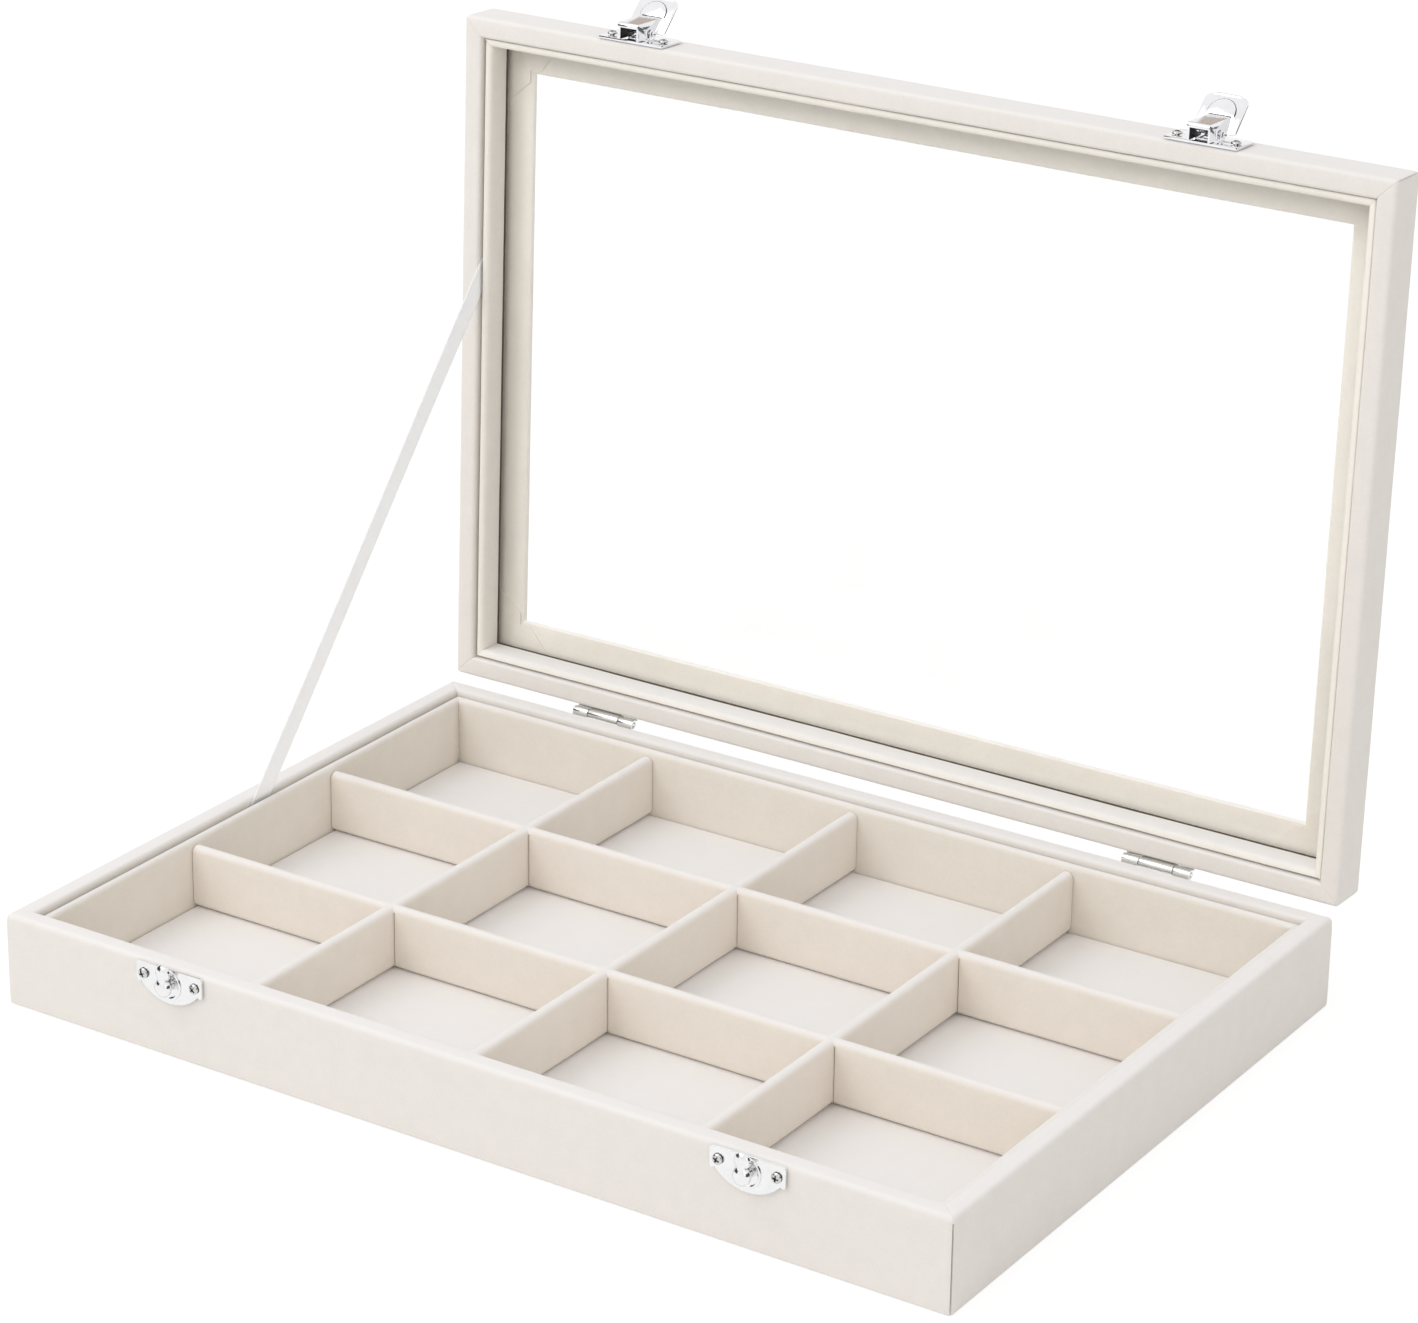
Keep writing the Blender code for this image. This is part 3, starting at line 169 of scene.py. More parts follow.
def addWorld(level):
    world = bpy.data.worlds.new("paleSky")
    world.use_nodes = True
    tree = world.node_tree
    tree.nodes.clear()
    out = tree.nodes.new("ShaderNodeOutputWorld")
    mixSurfaces(tree, seenAsWhite(tree), addSky(tree, level), addSky(tree, 1.0), out)
    bpy.context.scene.world = world


def addLamp(name, sizes):
    data = bpy.data.lights.new(name, "AREA")
    data.color = sizes["colour"]
    data.shape = "SQUARE"
    data.size = sizes["size"]
    data.energy = sizes["power"]
    lamp = intoScene(name, data)
    lamp.location = sizes["place"]
    lamp.rotation_mode = "QUATERNION"
    aim = Vector(lightSizes["target"]) - Vector(sizes["place"])
    lamp.rotation_quaternion = aim.to_track_quat("-Z", "Y")


def floorFinish(sizes):
    material = bpy.data.materials.new("paleFloor")
    material.use_nodes = True
    tree = material.node_tree
    tree.nodes.clear()
    plain = tree.nodes.new("ShaderNodeBsdfDiffuse")
    plain.inputs["Color"].default_value = sizes["colour"]
    white = tree.nodes.new("ShaderNodeEmission")
    white.inputs["Strength"].default_value = sizes["level"]
    share = addMath(tree, "MULTIPLY", seenAsWhite(tree), sizes["whiteShare"])
    mixSurfaces(tree, share, plain, white, tree.nodes.new("ShaderNodeOutputMaterial"))
    return material


def addBoard(name, corners, material):
    mesh = bpy.data.meshes.new(name)
    mesh.from_pydata(corners, [], [(0, 1, 2, 3)])
    mesh.materials.append(material)
    return intoScene(name, mesh)


def addFloor(sizes):
    corners = [(x * sizes["reach"], y * sizes["reach"], 0) for x, y in ((-1, -1), (1, -1), (1, 1), (-1, 1))]
    floor = addBoard("floor", corners, floorFinish(sizes))
    floor.location.z = -sizes["drop"]


def addCard(name, shade, corners):
    material = bpy.data.materials.new(name)
    material.use_nodes = True
    material.node_tree.nodes["Principled BSDF"].inputs["Base Color"].default_value = (*shade, 1.0)
    card = addBoard(name, corners, material)
    card.visible_camera = card.visible_diffuse = card.visible_shadow = False
    card.visible_transmission = card.visible_volume_scatter = False


addWorld(lightSizes["skyLevel"])
for name, (shade, corners) in cards.items():
    addCard(name, shade, corners)
for name in ("keyLamp", "fillLamp"):
    addLamp(name, lightSizes[name])
addFloor(floorSizes)
bpy.context.scene.view_settings.view_transform = "Standard"
print("light and floor placed")

# materials


def linear(colour):  # 0 to 255 as seen on a screen, to the shader's own scale
    return [((c / 255 + 0.055) / 1.055) ** 2.4 if c > 10 else c / 255 / 12.92 for c in colour] + [1.0]


def startMaterial(name):
    material = bpy.data.materials.new(name)
    material.use_nodes = True
    tree = material.node_tree
    shader = tree.nodes["Principled BSDF"]
    place = tree.nodes.new("ShaderNodeTexCoord")
    return material, tree, shader, place.outputs["Object"]


def addNoise(tree, place, scale, detail=2.0, roughness=0.5, stretch=None):
    node = tree.nodes.new("ShaderNodeTexNoise")
    setSockets(node, {"Scale": scale, "Detail": detail, "Roughness": roughness})
    if stretch:
        mapping = tree.nodes.new("ShaderNodeMapping")
        mapping.inputs["Scale"].default_value = stretch
        tree.links.new(place, mapping.inputs["Vector"])
        place = mapping.outputs["Vector"]
    tree.links.new(place, node.inputs["Vector"])
    return node.outputs["Fac"]


def addRange(tree, value, low, high, start=0.3, end=0.7):
    node = tree.nodes.new("ShaderNodeMapRange")
    setSockets(node, {"From Min": start, "From Max": end, "To Min": low, "To Max": high})
    tree.links.new(value, node.inputs["Value"])
    return node.outputs["Result"]


def addBlend(tree, share, first, second):
    node = tree.nodes.new("ShaderNodeMix")
    node.data_type = "RGBA"
    tree.links.new(share, node.inputs["Factor"])
    for socket, colour in ((node.inputs["A"], first), (node.inputs["B"], second)):
        if isinstance(colour, list):
            socket.default_value = colour
        else:
            tree.links.new(colour, socket)
    return node.outputs["Result"]


def addBump(tree, shader, height, depth, strength=1.0):
    node = tree.nodes.new("ShaderNodeBump")
    setSockets(node, {"Strength": strength, "Distance": depth})
    tree.links.new(height, node.inputs["Height"])
    tree.links.new(node.outputs["Normal"], shader.inputs["Normal"])


def shaded(colour, share):
    return [channel * share for channel in colour[:3]] + [1.0]


velvetLook = {
    # noise: scale, detail, roughness
    "mottle": (150.0, 3.0, 0.55),  # soft patches of brushed pile, about 7 mm
    "nap": (1100.0, 2.0, 0.6),  # tufts, about 1 mm
    "pile": (6500.0, 2.0, 0.7),  # single pile ends
    "pileDepth": 0.00007,
    "pileStrength": 0.8,
    "mottleShare": 0.035,  # darker patches; paler ones go less far
    "paleMottle": 0.6,
    "napShare": 0.05,
    "paleNap": 0.5,
    "napSpan": (0.25, 0.75),  # the part of the noise that is used
    "pileSpan": (0.2, 0.8),
    "pileMix": (0.35, 0.65),  # how much of the tufts' colour shows over the patches
    "napHeight": 0.35,
    "topHighlightShare": 0.7,  # painted highlight: how far pile that looks up turns to a paler colour, as if lit from above
    "topHighlightPile": (0.7, 1.0),
    "topHighlightSlope": (0.4, 0.93),  # the upward slope where that starts, and where it is whole
    "topHighlightColour": (251, 249, 250),
    "roughness": (0.86, 0.98),
    "sheen": 0.18,
    "sheenRoughness": 0.45,
    "sheenTint": (1.0, 0.97, 0.93, 1.0),
    "specular": 0.15,
}


def velvet(name, colour, paintedTopHighlight=True):
    material, tree, shader, place = startMaterial(name)
    look = velvetLook
    base = linear(colour)
    mottle, nap, pile = (addNoise(tree, place, *look[kind]) for kind in ("mottle", "nap", "pile"))
    dark = shaded(base, 1 - look["mottleShare"])
    light = shaded(base, 1 + look["mottleShare"] * look["paleMottle"])
    patch = addBlend(tree, addRange(tree, mottle, 0.0, 1.0), dark, light)
    low, high = shaded(base, 1 - look["napShare"]), shaded(base, 1 + look["napShare"] * look["paleNap"])
    fine = addBlend(tree, addRange(tree, nap, 0.0, 1.0, *look["napSpan"]), low, high)
    mix = addBlend(tree, addRange(tree, pile, *look["pileMix"], *look["pileSpan"]), patch, fine)
    # painted highlight: pile that looks up is blended towards a paler colour, standing in for light from above
    if paintedTopHighlight:
        split = tree.nodes.new("ShaderNodeSeparateXYZ")
        tree.links.new(place.node.outputs["Normal"], split.inputs[0])
        topHighlight = addRange(tree, split.outputs["Z"], 0.0, look["topHighlightShare"], *look["topHighlightSlope"])
        shown = addRange(tree, pile, *look["topHighlightPile"], *look["pileSpan"])
        topHighlight = addMath(tree, "MULTIPLY", topHighlight, shown)
        mix = addBlend(tree, topHighlight, mix, linear(look["topHighlightColour"]))
    tree.links.new(mix, shader.inputs["Base Color"])
    tree.links.new(addRange(tree, nap, *look["roughness"]), shader.inputs["Roughness"])
    height = addMath(tree, "ADD", addMath(tree, "MULTIPLY", nap, look["napHeight"]), pile)
    addBump(tree, shader, height, look["pileDepth"], look["pileStrength"])
    setSockets(shader, {"Sheen Weight": look["sheen"], "Sheen Roughness": look["sheenRoughness"]})
    setSockets(shader, {"Sheen Tint": look["sheenTint"], "Specular IOR Level": look["specular"]})
    return material


metalLook = {
    "cloud": (260.0, 3.0, 0.6),  # noise: scale, detail, roughness
    "fine": (2.0, 0.6),  # detail, roughness
    "cloudShade": 0.93,
    "roughness": (0.75, 1.5),  # times the metal's own
    "depth": 0.000012,
    "strength": 0.5,
}


def brightMetal(name, colour, roughness, grain=2200.0, stretch=None):
    material, tree, shader, place = startMaterial(name)
    look = metalLook
    base = linear(colour)
    cloud = addNoise(tree, place, *look["cloud"])
    fine = addNoise(tree, place, grain, *look["fine"], stretch)
    mix = addBlend(tree, addRange(tree, cloud, 0.0, 1.0), shaded(base, look["cloudShade"]), base)
    tree.links.new(mix, shader.inputs["Base Color"])
    low, high = (roughness * share for share in look["roughness"])
    tree.links.new(addRange(tree, fine, low, high), shader.inputs["Roughness"])
    addBump(tree, shader, fine, look["depth"], look["strength"])
    shader.inputs["Metallic"].default_value = 1.0
    return material


boardLook = {
    "fibres": (420.0, 4.0, 0.65, (1.0, 3.5, 1.0)),  # noise: scale, detail, roughness, stretch
    "specks": (2100.0, 2.0, 0.6),
    "colours": ((146, 122, 92), (196, 172, 138)),
    "speckColour": (116, 92, 66),
    "speckSpan": (0.0, 0.35, 0.55, 0.75),
    "roughness": (0.7, 0.9),
    "depth": 0.0002,
    "strength": 0.6,
}


def fibreBoard(name):
    material, tree, shader, place = startMaterial(name)
    look = boardLook
    fibres, specks = addNoise(tree, place, *look["fibres"]), addNoise(tree, place, *look["specks"])
    low, high = (linear(colour) for colour in look["colours"])
    mix = addBlend(tree, addRange(tree, fibres, 0.0, 1.0), low, high)
    mix = addBlend(tree, addRange(tree, specks, *look["speckSpan"]), mix, linear(look["speckColour"]))
    tree.links.new(mix, shader.inputs["Base Color"])
    tree.links.new(addRange(tree, specks, *look["roughness"]), shader.inputs["Roughness"])
    addBump(tree, shader, fibres, look["depth"], look["strength"])
    return material


glassLook = {
    "smear": (22.0, 3.0, 0.6),  # noise: scale, detail, roughness
    "smearSpan": (0.0, 0.03, 0.45, 0.75),  # the pane's roughness, and the part of the noise used
    "sockets": {"Transmission Weight": 1.0, "IOR": 1.46, "Base Color": (1.0, 1.0, 1.0, 1.0)},
}


def clearGlass(name):
    material, tree, shader, place = startMaterial(name)
    setSockets(shader, glassLook["sockets"])
    smear = addRange(tree, addNoise(tree, place, *glassLook["smear"]), *glassLook["smearSpan"])
    tree.links.new(smear, shader.inputs["Roughness"])
    path = tree.nodes.new("ShaderNodeLightPath")
    through = tree.nodes.new("ShaderNodeBsdfTransparent")  # lets light into the case
    mixSurfaces(tree, path.outputs["Is Shadow Ray"], shader, through, tree.nodes["Material Output"])
    return material


satinLook = {
    "colour": (253, 253, 255),
    "warp": {"Scale": 5.0, "Distortion": 0.6, "Detail": 2.0},
    "weft": (1800.0, 2.0, 0.6),  # noise: scale, detail, roughness
    "weftShade": 0.97,
    "roughness": (0.3, 0.42),
    "depth": 0.00004,
    "strength": 0.5,
    "sockets": {
        "Anisotropic": 0.5,
        "Specular IOR Level": 0.9,
        "Sheen Weight": 0.8,
        "Sheen Roughness": 0.5,
        "Coat Weight": 0.7,
        "Coat Roughness": 0.4,
        "Subsurface Weight": 1.0,
        "Subsurface Radius": (1.0, 1.0, 1.0),
        "Subsurface Scale": 0.006,
    },
}


def satin(name):
    material, tree, shader, place = startMaterial(name)
    look = satinLook
    uv = tree.nodes.new("ShaderNodeUVMap")
    uv.uv_map = "UVMap"
    base = linear(look["colour"])
    warp = tree.nodes.new("ShaderNodeTexWave")
    warp.wave_type = "BANDS"
    warp.bands_direction = "Y"
    setSockets(warp, look["warp"])
    tree.links.new(uv.outputs["UV"], warp.inputs["Vector"])
    weft = addNoise(tree, place, *look["weft"])
    mix = addBlend(tree, addRange(tree, weft, 0.0, 1.0), shaded(base, look["weftShade"]), base)
    tree.links.new(mix, shader.inputs["Base Color"])
    tree.links.new(addRange(tree, weft, *look["roughness"]), shader.inputs["Roughness"])
    addBump(tree, shader, addMath(tree, "ADD", warp.outputs["Fac"], weft), look["depth"], look["strength"])
    setSockets(shader, look["sockets"])
    return material


looks = {
    "wall": velvet("wallVelvet", (240, 235, 229)),
    "liner": velvet("linerVelvet", (240, 233, 223)),
    # painted light: a paler copy of the liner velvet for the lid's liners, standing in for more light on them
    "lidLiner": velvet("lidLinerPaintedLightVelvet", (252, 247, 238)),
    "divider": velvet("dividerVelvet", (243, 235, 225)),
    "pad": velvet("padVelvet", (243, 240, 235)),
    "patch": velvet("patchVelvet", (250, 243, 231)),
    # painted light: a paler copy of the wall velvet for the frame's face behind the pane, which lies in shade
    "frameBackPaintedLight": velvet("frameBackPaintedLightVelvet", (251, 245, 234)),
    "board": fibreBoard("fibreBoard"),
    "glass": clearGlass("clearPane"),
    "chrome": brightMetal("brightChrome", (242, 242, 244), 0.07),
    "strike": brightMetal("stampedChrome", (240, 240, 241), 0.11),
    "screw": brightMetal("nickelScrew", (212, 211, 209), 0.16),
    "hinge": brightMetal("nickelHinge", (240, 240, 238), 0.16, 1500.0, (0.15, 1.0, 1.0)),
    "spring": brightMetal("springSteel", (176, 176, 178), 0.25),
    # painted shade: a dark steel look for socket insides, screw recesses and the blades' arch lines, where shade
    # falls
    "paintedShade": brightMetal("paintedShadeSteel", (92, 90, 90), 0.45),
    # painted shade: a dark velvet look for the strip that stands in for the shade of the gap at the pane's edge
    "gapShade": velvet("gapShadeFelt", (100, 88, 74), False),
    "ribbon": satin("whiteSatin"),
}
print("materials made:", len(looks))

# shapes

closeWeld = 0.001 * mm
cutStep = 2.4 * mm  # long straight sides of an outline are cut up this finely


def boxOf(names, back=unturned):
    points = [back @ vertex.co for name in names for vertex in nodes[name].data.vertices]
    low = Vector([min(point[axis] for point in points) for axis in range(3)])
    high = Vector([max(point[axis] for point in points) for axis in range(3)])
    return low, high


def linkMesh(name, mesh, look, smoothAngle=35.0, secondLook=None):
    # marked faces, and those that a tree gave the second look, keep it
    piece = intoScene(name, mesh)
    second = looks[secondLook] if secondLook else None
    seconds = [index for index, material in enumerate(mesh.materials) if second and material == second] or [1]
    kept = [int(face.material_index in seconds) for face in mesh.polygons]
    mesh.materials.clear()
    mesh.materials.append(looks[look])
    if second:
        mesh.materials.append(second)
        mesh.polygons.foreach_set("material_index", kept)
    mesh.shade_smooth()
    mesh.set_sharp_from_angle(angle=math.radians(smoothAngle))
    return piece


def meshFrom(name, points, faces, weld=0.01 * mm):
    mesh = bpy.data.meshes.new(name)
    mesh.from_pydata(points, [], faces)
    work = bmesh.new()
    work.from_mesh(mesh)
    if weld:
        bmesh.ops.remove_doubles(work, verts=work.verts, dist=weld)
    bmesh.ops.recalc_face_normals(work, faces=work.faces)
    work.to_mesh(mesh)
    work.free()
    mesh.update()
    return mesh


def roundedOutline(corners, steps=5, spacing=None):  # corners are (u, z, radius), each rounded
    outline = []
    count = len(corners)
    for index, (u, z, radius) in enumerate(corners):
        here = Vector((u, z))
        before = Vector(corners[index - 1][:2]) - here
        after = Vector(corners[(index + 1) % count][:2]) - here
        if radius <= 0:
            outline.append(here)
            continue
        first, last = here + before.normalized() * radius, here + after.normalized() * radius
        centre = first + last - here
        for step in range(steps + 1):
            angle = math.pi / 2 * step / steps
            outline.append(centre + (first - centre) * math.cos(angle) + (last - centre) * math.sin(angle))
    if not spacing:
        return outline
    full = []
    for index, point in enumerate(outline):
        full.append(point)
        following = outline[(index + 1) % len(outline)]
        parts = int((following - point).length / spacing)
        full.extend(point.lerp(following, part / (parts + 1)) for part in range(1, parts + 1))
    return full


def outlineNormals(outline):  # outward, in (u, z)
    area = sum(a.x * b.y - b.x * a.y for a, b in zip(outline, outline[1:] + outline[:1]))
    sign = 1 if area > 0 else -1
    normals = []
    for index in range(len(outline)):
        along = outline[(index + 1) % len(outline)] - outline[index - 1]
        normals.append(Vector((along.y, -along.x)).normalized() * sign)
    return normals


# rings run round a rectangle: an arc at each corner, then the side that follows it
cornerSigns = ((1, -1), (1, 1), (-1, 1), (-1, -1))
sideSigns = (1, 1, -1, -1)
arcAngles = (0, 18, 28, 35, 45, 55, 62, 72, 90)
nearCorner = (0.35 * mm, 1.1 * mm, 3.0 * mm)
nearShares = (0.25, 0.5, 0.75)
sideMargin = 4 * mm  # even spacing starts this far from the deepest corner


def ringStations(half, deepest, spacing):
    stations = []
    for corner in range(4):
        stations.extend(("arc", corner, angle) for angle in arcAngles)
        stations.extend(("start", corner, distance) for distance in nearCorner)
        stations.extend(("startShare", corner, share) for share in nearShares)
        reach = half[(corner + 1) % 2] - deepest - sideMargin
        count = max(2, round(2 * reach / spacing))
        stations.extend(("side", corner, -reach + 2 * reach * step / count) for step in range(count + 1))
        stations.extend(("endShare", corner, share) for share in reversed(nearShares))
        stations.extend(("end", corner, distance) for distance in reversed(nearCorner))
    return stations


def onSide(corner, along, out):  # the sides after corners 0 and 2 run along y, the others along x
    if corner % 2 == 0:
        return Vector((sideSigns[corner] * out, sideSigns[corner] * along))
    return Vector((-sideSigns[corner] * along, sideSigns[corner] * out))


def ringPlace(station, inset, half, radius, deepest):  # x and y of a station at a distance in
    kind, corner, value = station
    flush = max(inset, radius)
    if kind == "arc":
        signX, signY = cornerSigns[corner]
        bend = max(radius - inset, 0)
        angle = math.radians(corner * 90 - 90 + value)
        x = signX * (half[0] - flush) + bend * math.cos(angle)
        return Vector((x, signY * (half[1] - flush) + bend * math.sin(angle)))
    axis = (corner + 1) % 2
    end = half[axis] - flush
    middle = half[axis] - deepest - sideMargin
    shared = (end - nearCorner[-1]) * (1 - value) + middle * value
    places = {"start": value - end, "end": end - value, "startShare": -shared, "endShare": shared, "side": value}
    return onSide(corner, places[kind], half[1 - axis] - inset)


def stripFaces(rows, size, closed):  # quads between rows of points, each row an outline
    faces = []
    for row in range(rows if closed else rows - 1):
        here, following = row * size, (row + 1) % rows * size
        for index in range(size):
            beside = (index + 1) % size
            faces.append((here + index, here + beside, following + beside, following + index))
    return faces


def gridFaces(wide, deep, first=0):  # quads between the points of a grid, row by row
    starts = [first + row * wide + column for row in range(deep - 1) for column in range(wide - 1)]
    return [(start, start + 1, start + wide + 1, start + wide) for start in starts]


def ringPoints(half, radius, outline, spacing, height, seam=None):  # outline points are (inset, height)
    deepest = max(point.x for point in outline)
    stations = ringStations(half, deepest, spacing)
    normals = outlineNormals(outline)
    points = []
    for station in stations:
        for normal, point in zip(normals, outline):
            sink = seam(station, point, radius) if seam else 0.0
            moved = point - normal * sink
            place = ringPlace(station, moved.x, half, radius, deepest)
            points.append((place.x, place.y, height + moved.y))
    return points, stripFaces(len(stations), len(outline), True)


rippleNoise = {
    "seedStep": (1.37, 2.11, 0.73),
    "broad": 0.7,
    "fine": 0.3,
    "fineScale": 3.1,
}


def ripple(mesh, amount, scale, seed, keep=None):  # moves points along their normals, as cloth does
    normals = [vertex.normal.copy() for vertex in mesh.vertices]
    shift = Vector([seed * step for step in rippleNoise["seedStep"]])
    for vertex, normal in zip(mesh.vertices, normals):
        if keep and keep(vertex.co):
            continue
        value = noise.noise(vertex.co * scale + shift) * rippleNoise["broad"]
        value += noise.noise(vertex.co * scale * rippleNoise["fineScale"] + shift) * rippleNoise["fine"]
        vertex.co += normal * (value * amount)
    mesh.update()


def turned(mesh, turn):
    mesh.transform(turn)
    mesh.update()
    return mesh


def wallThickness(name, back=unturned):
    low, high = boxOf([name], back)
    return high.x - low.x


# shells: one board ring wrapped in velvet, with an open seam down each outer corner

seamSizes = {
    "lipAngles": (35, 55),  # the cloth stands proud on both sides of the seam
    "reach": 0.4 * mm,  # only points this near the outer face sink
    "lowFade": 1.0 * mm,
    "highFade": 1.5 * mm,
    "rimShare": 0.75,  # how much of the rim's rounding is creased
    "rimInset": 0.3 * mm,
}

trayShell = {
    "cornerRadius": 1.5 * mm,
    "rimRadius": 1.9 * mm,
    "innerRimRadius": 1.3 * mm,
    "footRadius": 0.8 * mm,
    "roundSteps": 6,
    "spacing": 3.5 * mm,
    "seamDepth": 1.0 * mm,
    "seamLip": 0.16 * mm,
    "seamStart": 0.2 * mm,
    "seamTop": 29.2 * mm,
    "rimCrease": 0.16 * mm,
    "ripple": 0.10 * mm,
    "rippleScale": 28.0,
    "stillBelow": 1.5 * mm,
}
trayWalls = ["tray_front_wall", "tray_back_wall", "tray_left_wall", "tray_right_wall"]
lidWalls = ["lid_front_wall", "lid_back_wall", "lid_left_wall", "lid_right_wall"]


def cornerSeam(sizes, seamLow, seamHigh, onRim):  # how deep the cloth sinks at a point
    def sink(station, point, radius):
        kind, corner, value = station
        if kind != "arc":
            return 0.0
        if onRim(point):  # a faint mitre crease over the rim
            return sizes["rimCrease"] if value == 45 or point.x >= radius else 0.0
        if point.x > seamSizes["reach"]:
            return 0.0
        risen, left = (point.y - seamLow) / seamSizes["lowFade"], (seamHigh - point.y) / seamSizes["highFade"]
        fade = max(0.0, min(risen, left, 1.0))
        if value == 45:
            return sizes["seamDepth"] * fade
        return -sizes["seamLip"] * fade if value in seamSizes["lipAngles"] else 0.0

    return sink


def makeTrayShell(sizes):
    low, high = boxOf(trayWalls)
    top = high.z
    wall = wallThickness("tray_left_wall")
    rim, inner, foot = sizes["rimRadius"], sizes["innerRimRadius"], sizes["footRadius"]
    corners = [(wall, 0, foot), (0, 0, foot), (0, top, rim), (wall, top, inner)]
    outline = roundedOutline(corners, sizes["roundSteps"], cutStep)
    rimStart = top - rim * seamSizes["rimShare"]

    def onRim(point):
        return point.y > rimStart and point.x > seamSizes["rimInset"]

    seam = cornerSeam(sizes, sizes["seamStart"], sizes["seamTop"], onRim)
    points, faces = ringPoints((high.x, high.y), sizes["cornerRadius"], outline, sizes["spacing"], low.z, seam)
    mesh = meshFrom("trayShell", points, faces)
    ripple(mesh, sizes["ripple"], sizes["rippleScale"], 1, lambda place: place.z < sizes["stillBelow"])
    piece = linkMesh("trayShell", mesh, "wall", 50)
    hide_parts(*trayWalls)
    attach(piece, "tray")


makeTrayShell(trayShell)

# lid: walls and face frame under one cloth

lidShell = {
    "cornerRadius": 1.5 * mm,
    "rimRadius": 1.6 * mm,
    "innerRimRadius": 1.2 * mm,
    "faceRadius": 1.8 * mm,
    "windowRadius": 0.8 * mm,
    "roundSteps": 6,
    "spacing": 3.5 * mm,
    "seamDepth": 0.5 * mm,
    "seamLip": 0.1 * mm,
    "seamEnd": 2.0 * mm,  # below the outer face
    "rimCrease": 0.2 * mm,
    "ripple": 0.10 * mm,
    "rippleScale": 28.0,
    "backInset": 0.1 * mm,
}


def windowBorder():  # the width of the frame between the lid's side and the window
    across = [abs((lidBack @ vertex.co).x) for vertex in nodes["lid_face_frame"].data.vertices]
    return max(across) - min(across)


def makeLidShell(sizes):
    low, high = boxOf(lidWalls + ["lid_face_frame"], lidBack)
    frameLow = boxOf(["lid_face_frame"], lidBack)[0]
    half = (high.x, high.y)
    wall = wallThickness("lid_left_wall")
    height = high.z - low.z
    under = frameLow.z - low.z
    border = windowBorder()
    rim, face, edge = sizes["rimRadius"], sizes["faceRadius"], sizes["windowRadius"]
    corners = [
        (wall, 0, sizes["innerRimRadius"]),
        (wall, under, 0),
        (border, under, edge),
        (border, height, edge),
        (0, height, face),
        (0, 0, rim),
    ]
    outline = roundedOutline(corners, sizes["roundSteps"], cutStep)

    def onRim(point):
        return point.y < rim * seamSizes["rimShare"] and seamSizes["rimInset"] < point.x <= wall

    seam = cornerSeam(sizes, rim / 2, height - sizes["seamEnd"], onRim)
    points, faces = ringPoints(half, sizes["cornerRadius"], outline, sizes["spacing"], low.z, seam)
    mesh = meshFrom("lidShell", points, faces)
    ripple(mesh, sizes["ripple"], sizes["rippleScale"], 2)
    for face in mesh.polygons:  # the frame's face behind the pane, and the window's reveal, take a paler copy of the wall velvet: painted light
        inset = min(half[0] - abs(face.center.x), half[1] - abs(face.center.y))
        inside = inset > wall + sizes["backInset"] and face.center.z < low.z + height - edge
        face.material_index = int(inside)
    piece = linkMesh("lidShell", turned(mesh, lidTurn), "wall", 50, "frameBackPaintedLight")
    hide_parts(*lidWalls, "lid_face_frame")
    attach(piece, "lid")


makeLidShell(lidShell)
print("shells made")

# liners: thin covered strips, mitred at the corners

linerSizes = {
    "topRadius": 1.9 * mm,
    "wallRadius": 0.45 * mm,
    "wallGap": {"left": 0.75 * mm, "back": 0.5 * mm, "right": 0.15 * mm, "front": 0.15 * mm},
    "paneGap": 0.5 * mm,
    "footRadius": 0.4 * mm,
    "roundSteps": 5,
    "mitreGap": 0.06 * mm,
    "spacing": 3.5 * mm,
    "ripple": 0.12 * mm,
    "rippleScale": 30.0,
    "firstSeed": 5,
}
linerCorners = {"right": 0, "back": 1, "left": 2, "front": 3}


def stripMesh(name, half, corner, outline, base, sizes):  # one side of a ring, from mitre to mitre
    axis = (corner + 1) % 2
    count = round(2 * half[axis] / sizes["spacing"])
    size = len(outline)
    points = []
    for step in range(count + 1):
        share = -1 + 2 * step / count
        for point in outline:
            place = onSide(corner, share * (half[axis] - point.x - sizes["mitreGap"]), half[1 - axis] - point.x)
            points.append((place.x, place.y, base + point.y))
    faces = stripFaces(count + 1, size, False)
    faces.append(tuple(range(size)))
    faces.append(tuple(count * size + index for index in reversed(range(size))))
    return meshFrom(name, points, faces)


def makeLiners(body, look, sizes, back, turn):
    low, high = boxOf([f"{body}_{side}_liner" for side in linerCorners], back)
    thick = wallThickness(f"{body}_left_liner", back)
    tall = high.z - low.z
    top, beside, foot = sizes["topRadius"], sizes["wallRadius"], sizes["footRadius"]
    if body == "lid":
        tall -= sizes["paneGap"]
    for seed, (side, corner) in enumerate(linerCorners.items(), sizes["firstSeed"]):
        gap = sizes["wallGap"][side]
        if body == "tray":
            corners = [(thick, 0, foot), (gap, 0, foot), (gap, tall, beside), (thick, tall, top)]
        else:
            corners = [(thick, 0, top), (gap, 0, beside), (gap, tall, foot), (thick, tall, foot)]
        outline = roundedOutline(corners, sizes["roundSteps"], cutStep)
        name = f"{body}{side.capitalize()}Liner"
        mesh = stripMesh(name, (high.x, high.y), corner, outline, low.z, sizes)
        ripple(mesh, sizes["ripple"], sizes["rippleScale"], seed)
        piece = linkMesh(name, turned(mesh, turn), look, 50)
        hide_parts(f"{body}_{side}_liner")
        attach(piece, body)


makeLiners("tray", "liner", linerSizes, unturned, unturned)
makeLiners("lid", "lidLiner", linerSizes, lidBack, lidTurn)
print("liners made")

# pane gap shade: a thin dark strip between the liners' ends and the pane, painted shade of the gap there

gapShadeSizes = {
    "hidden": 1.2 * mm,
    "shown": 0.33 * mm,
    "thickness": 0.36 * mm,
    "away": 0.07 * mm,
    "edge": 0.08 * mm,
    "spacing": 8.0 * mm,
}


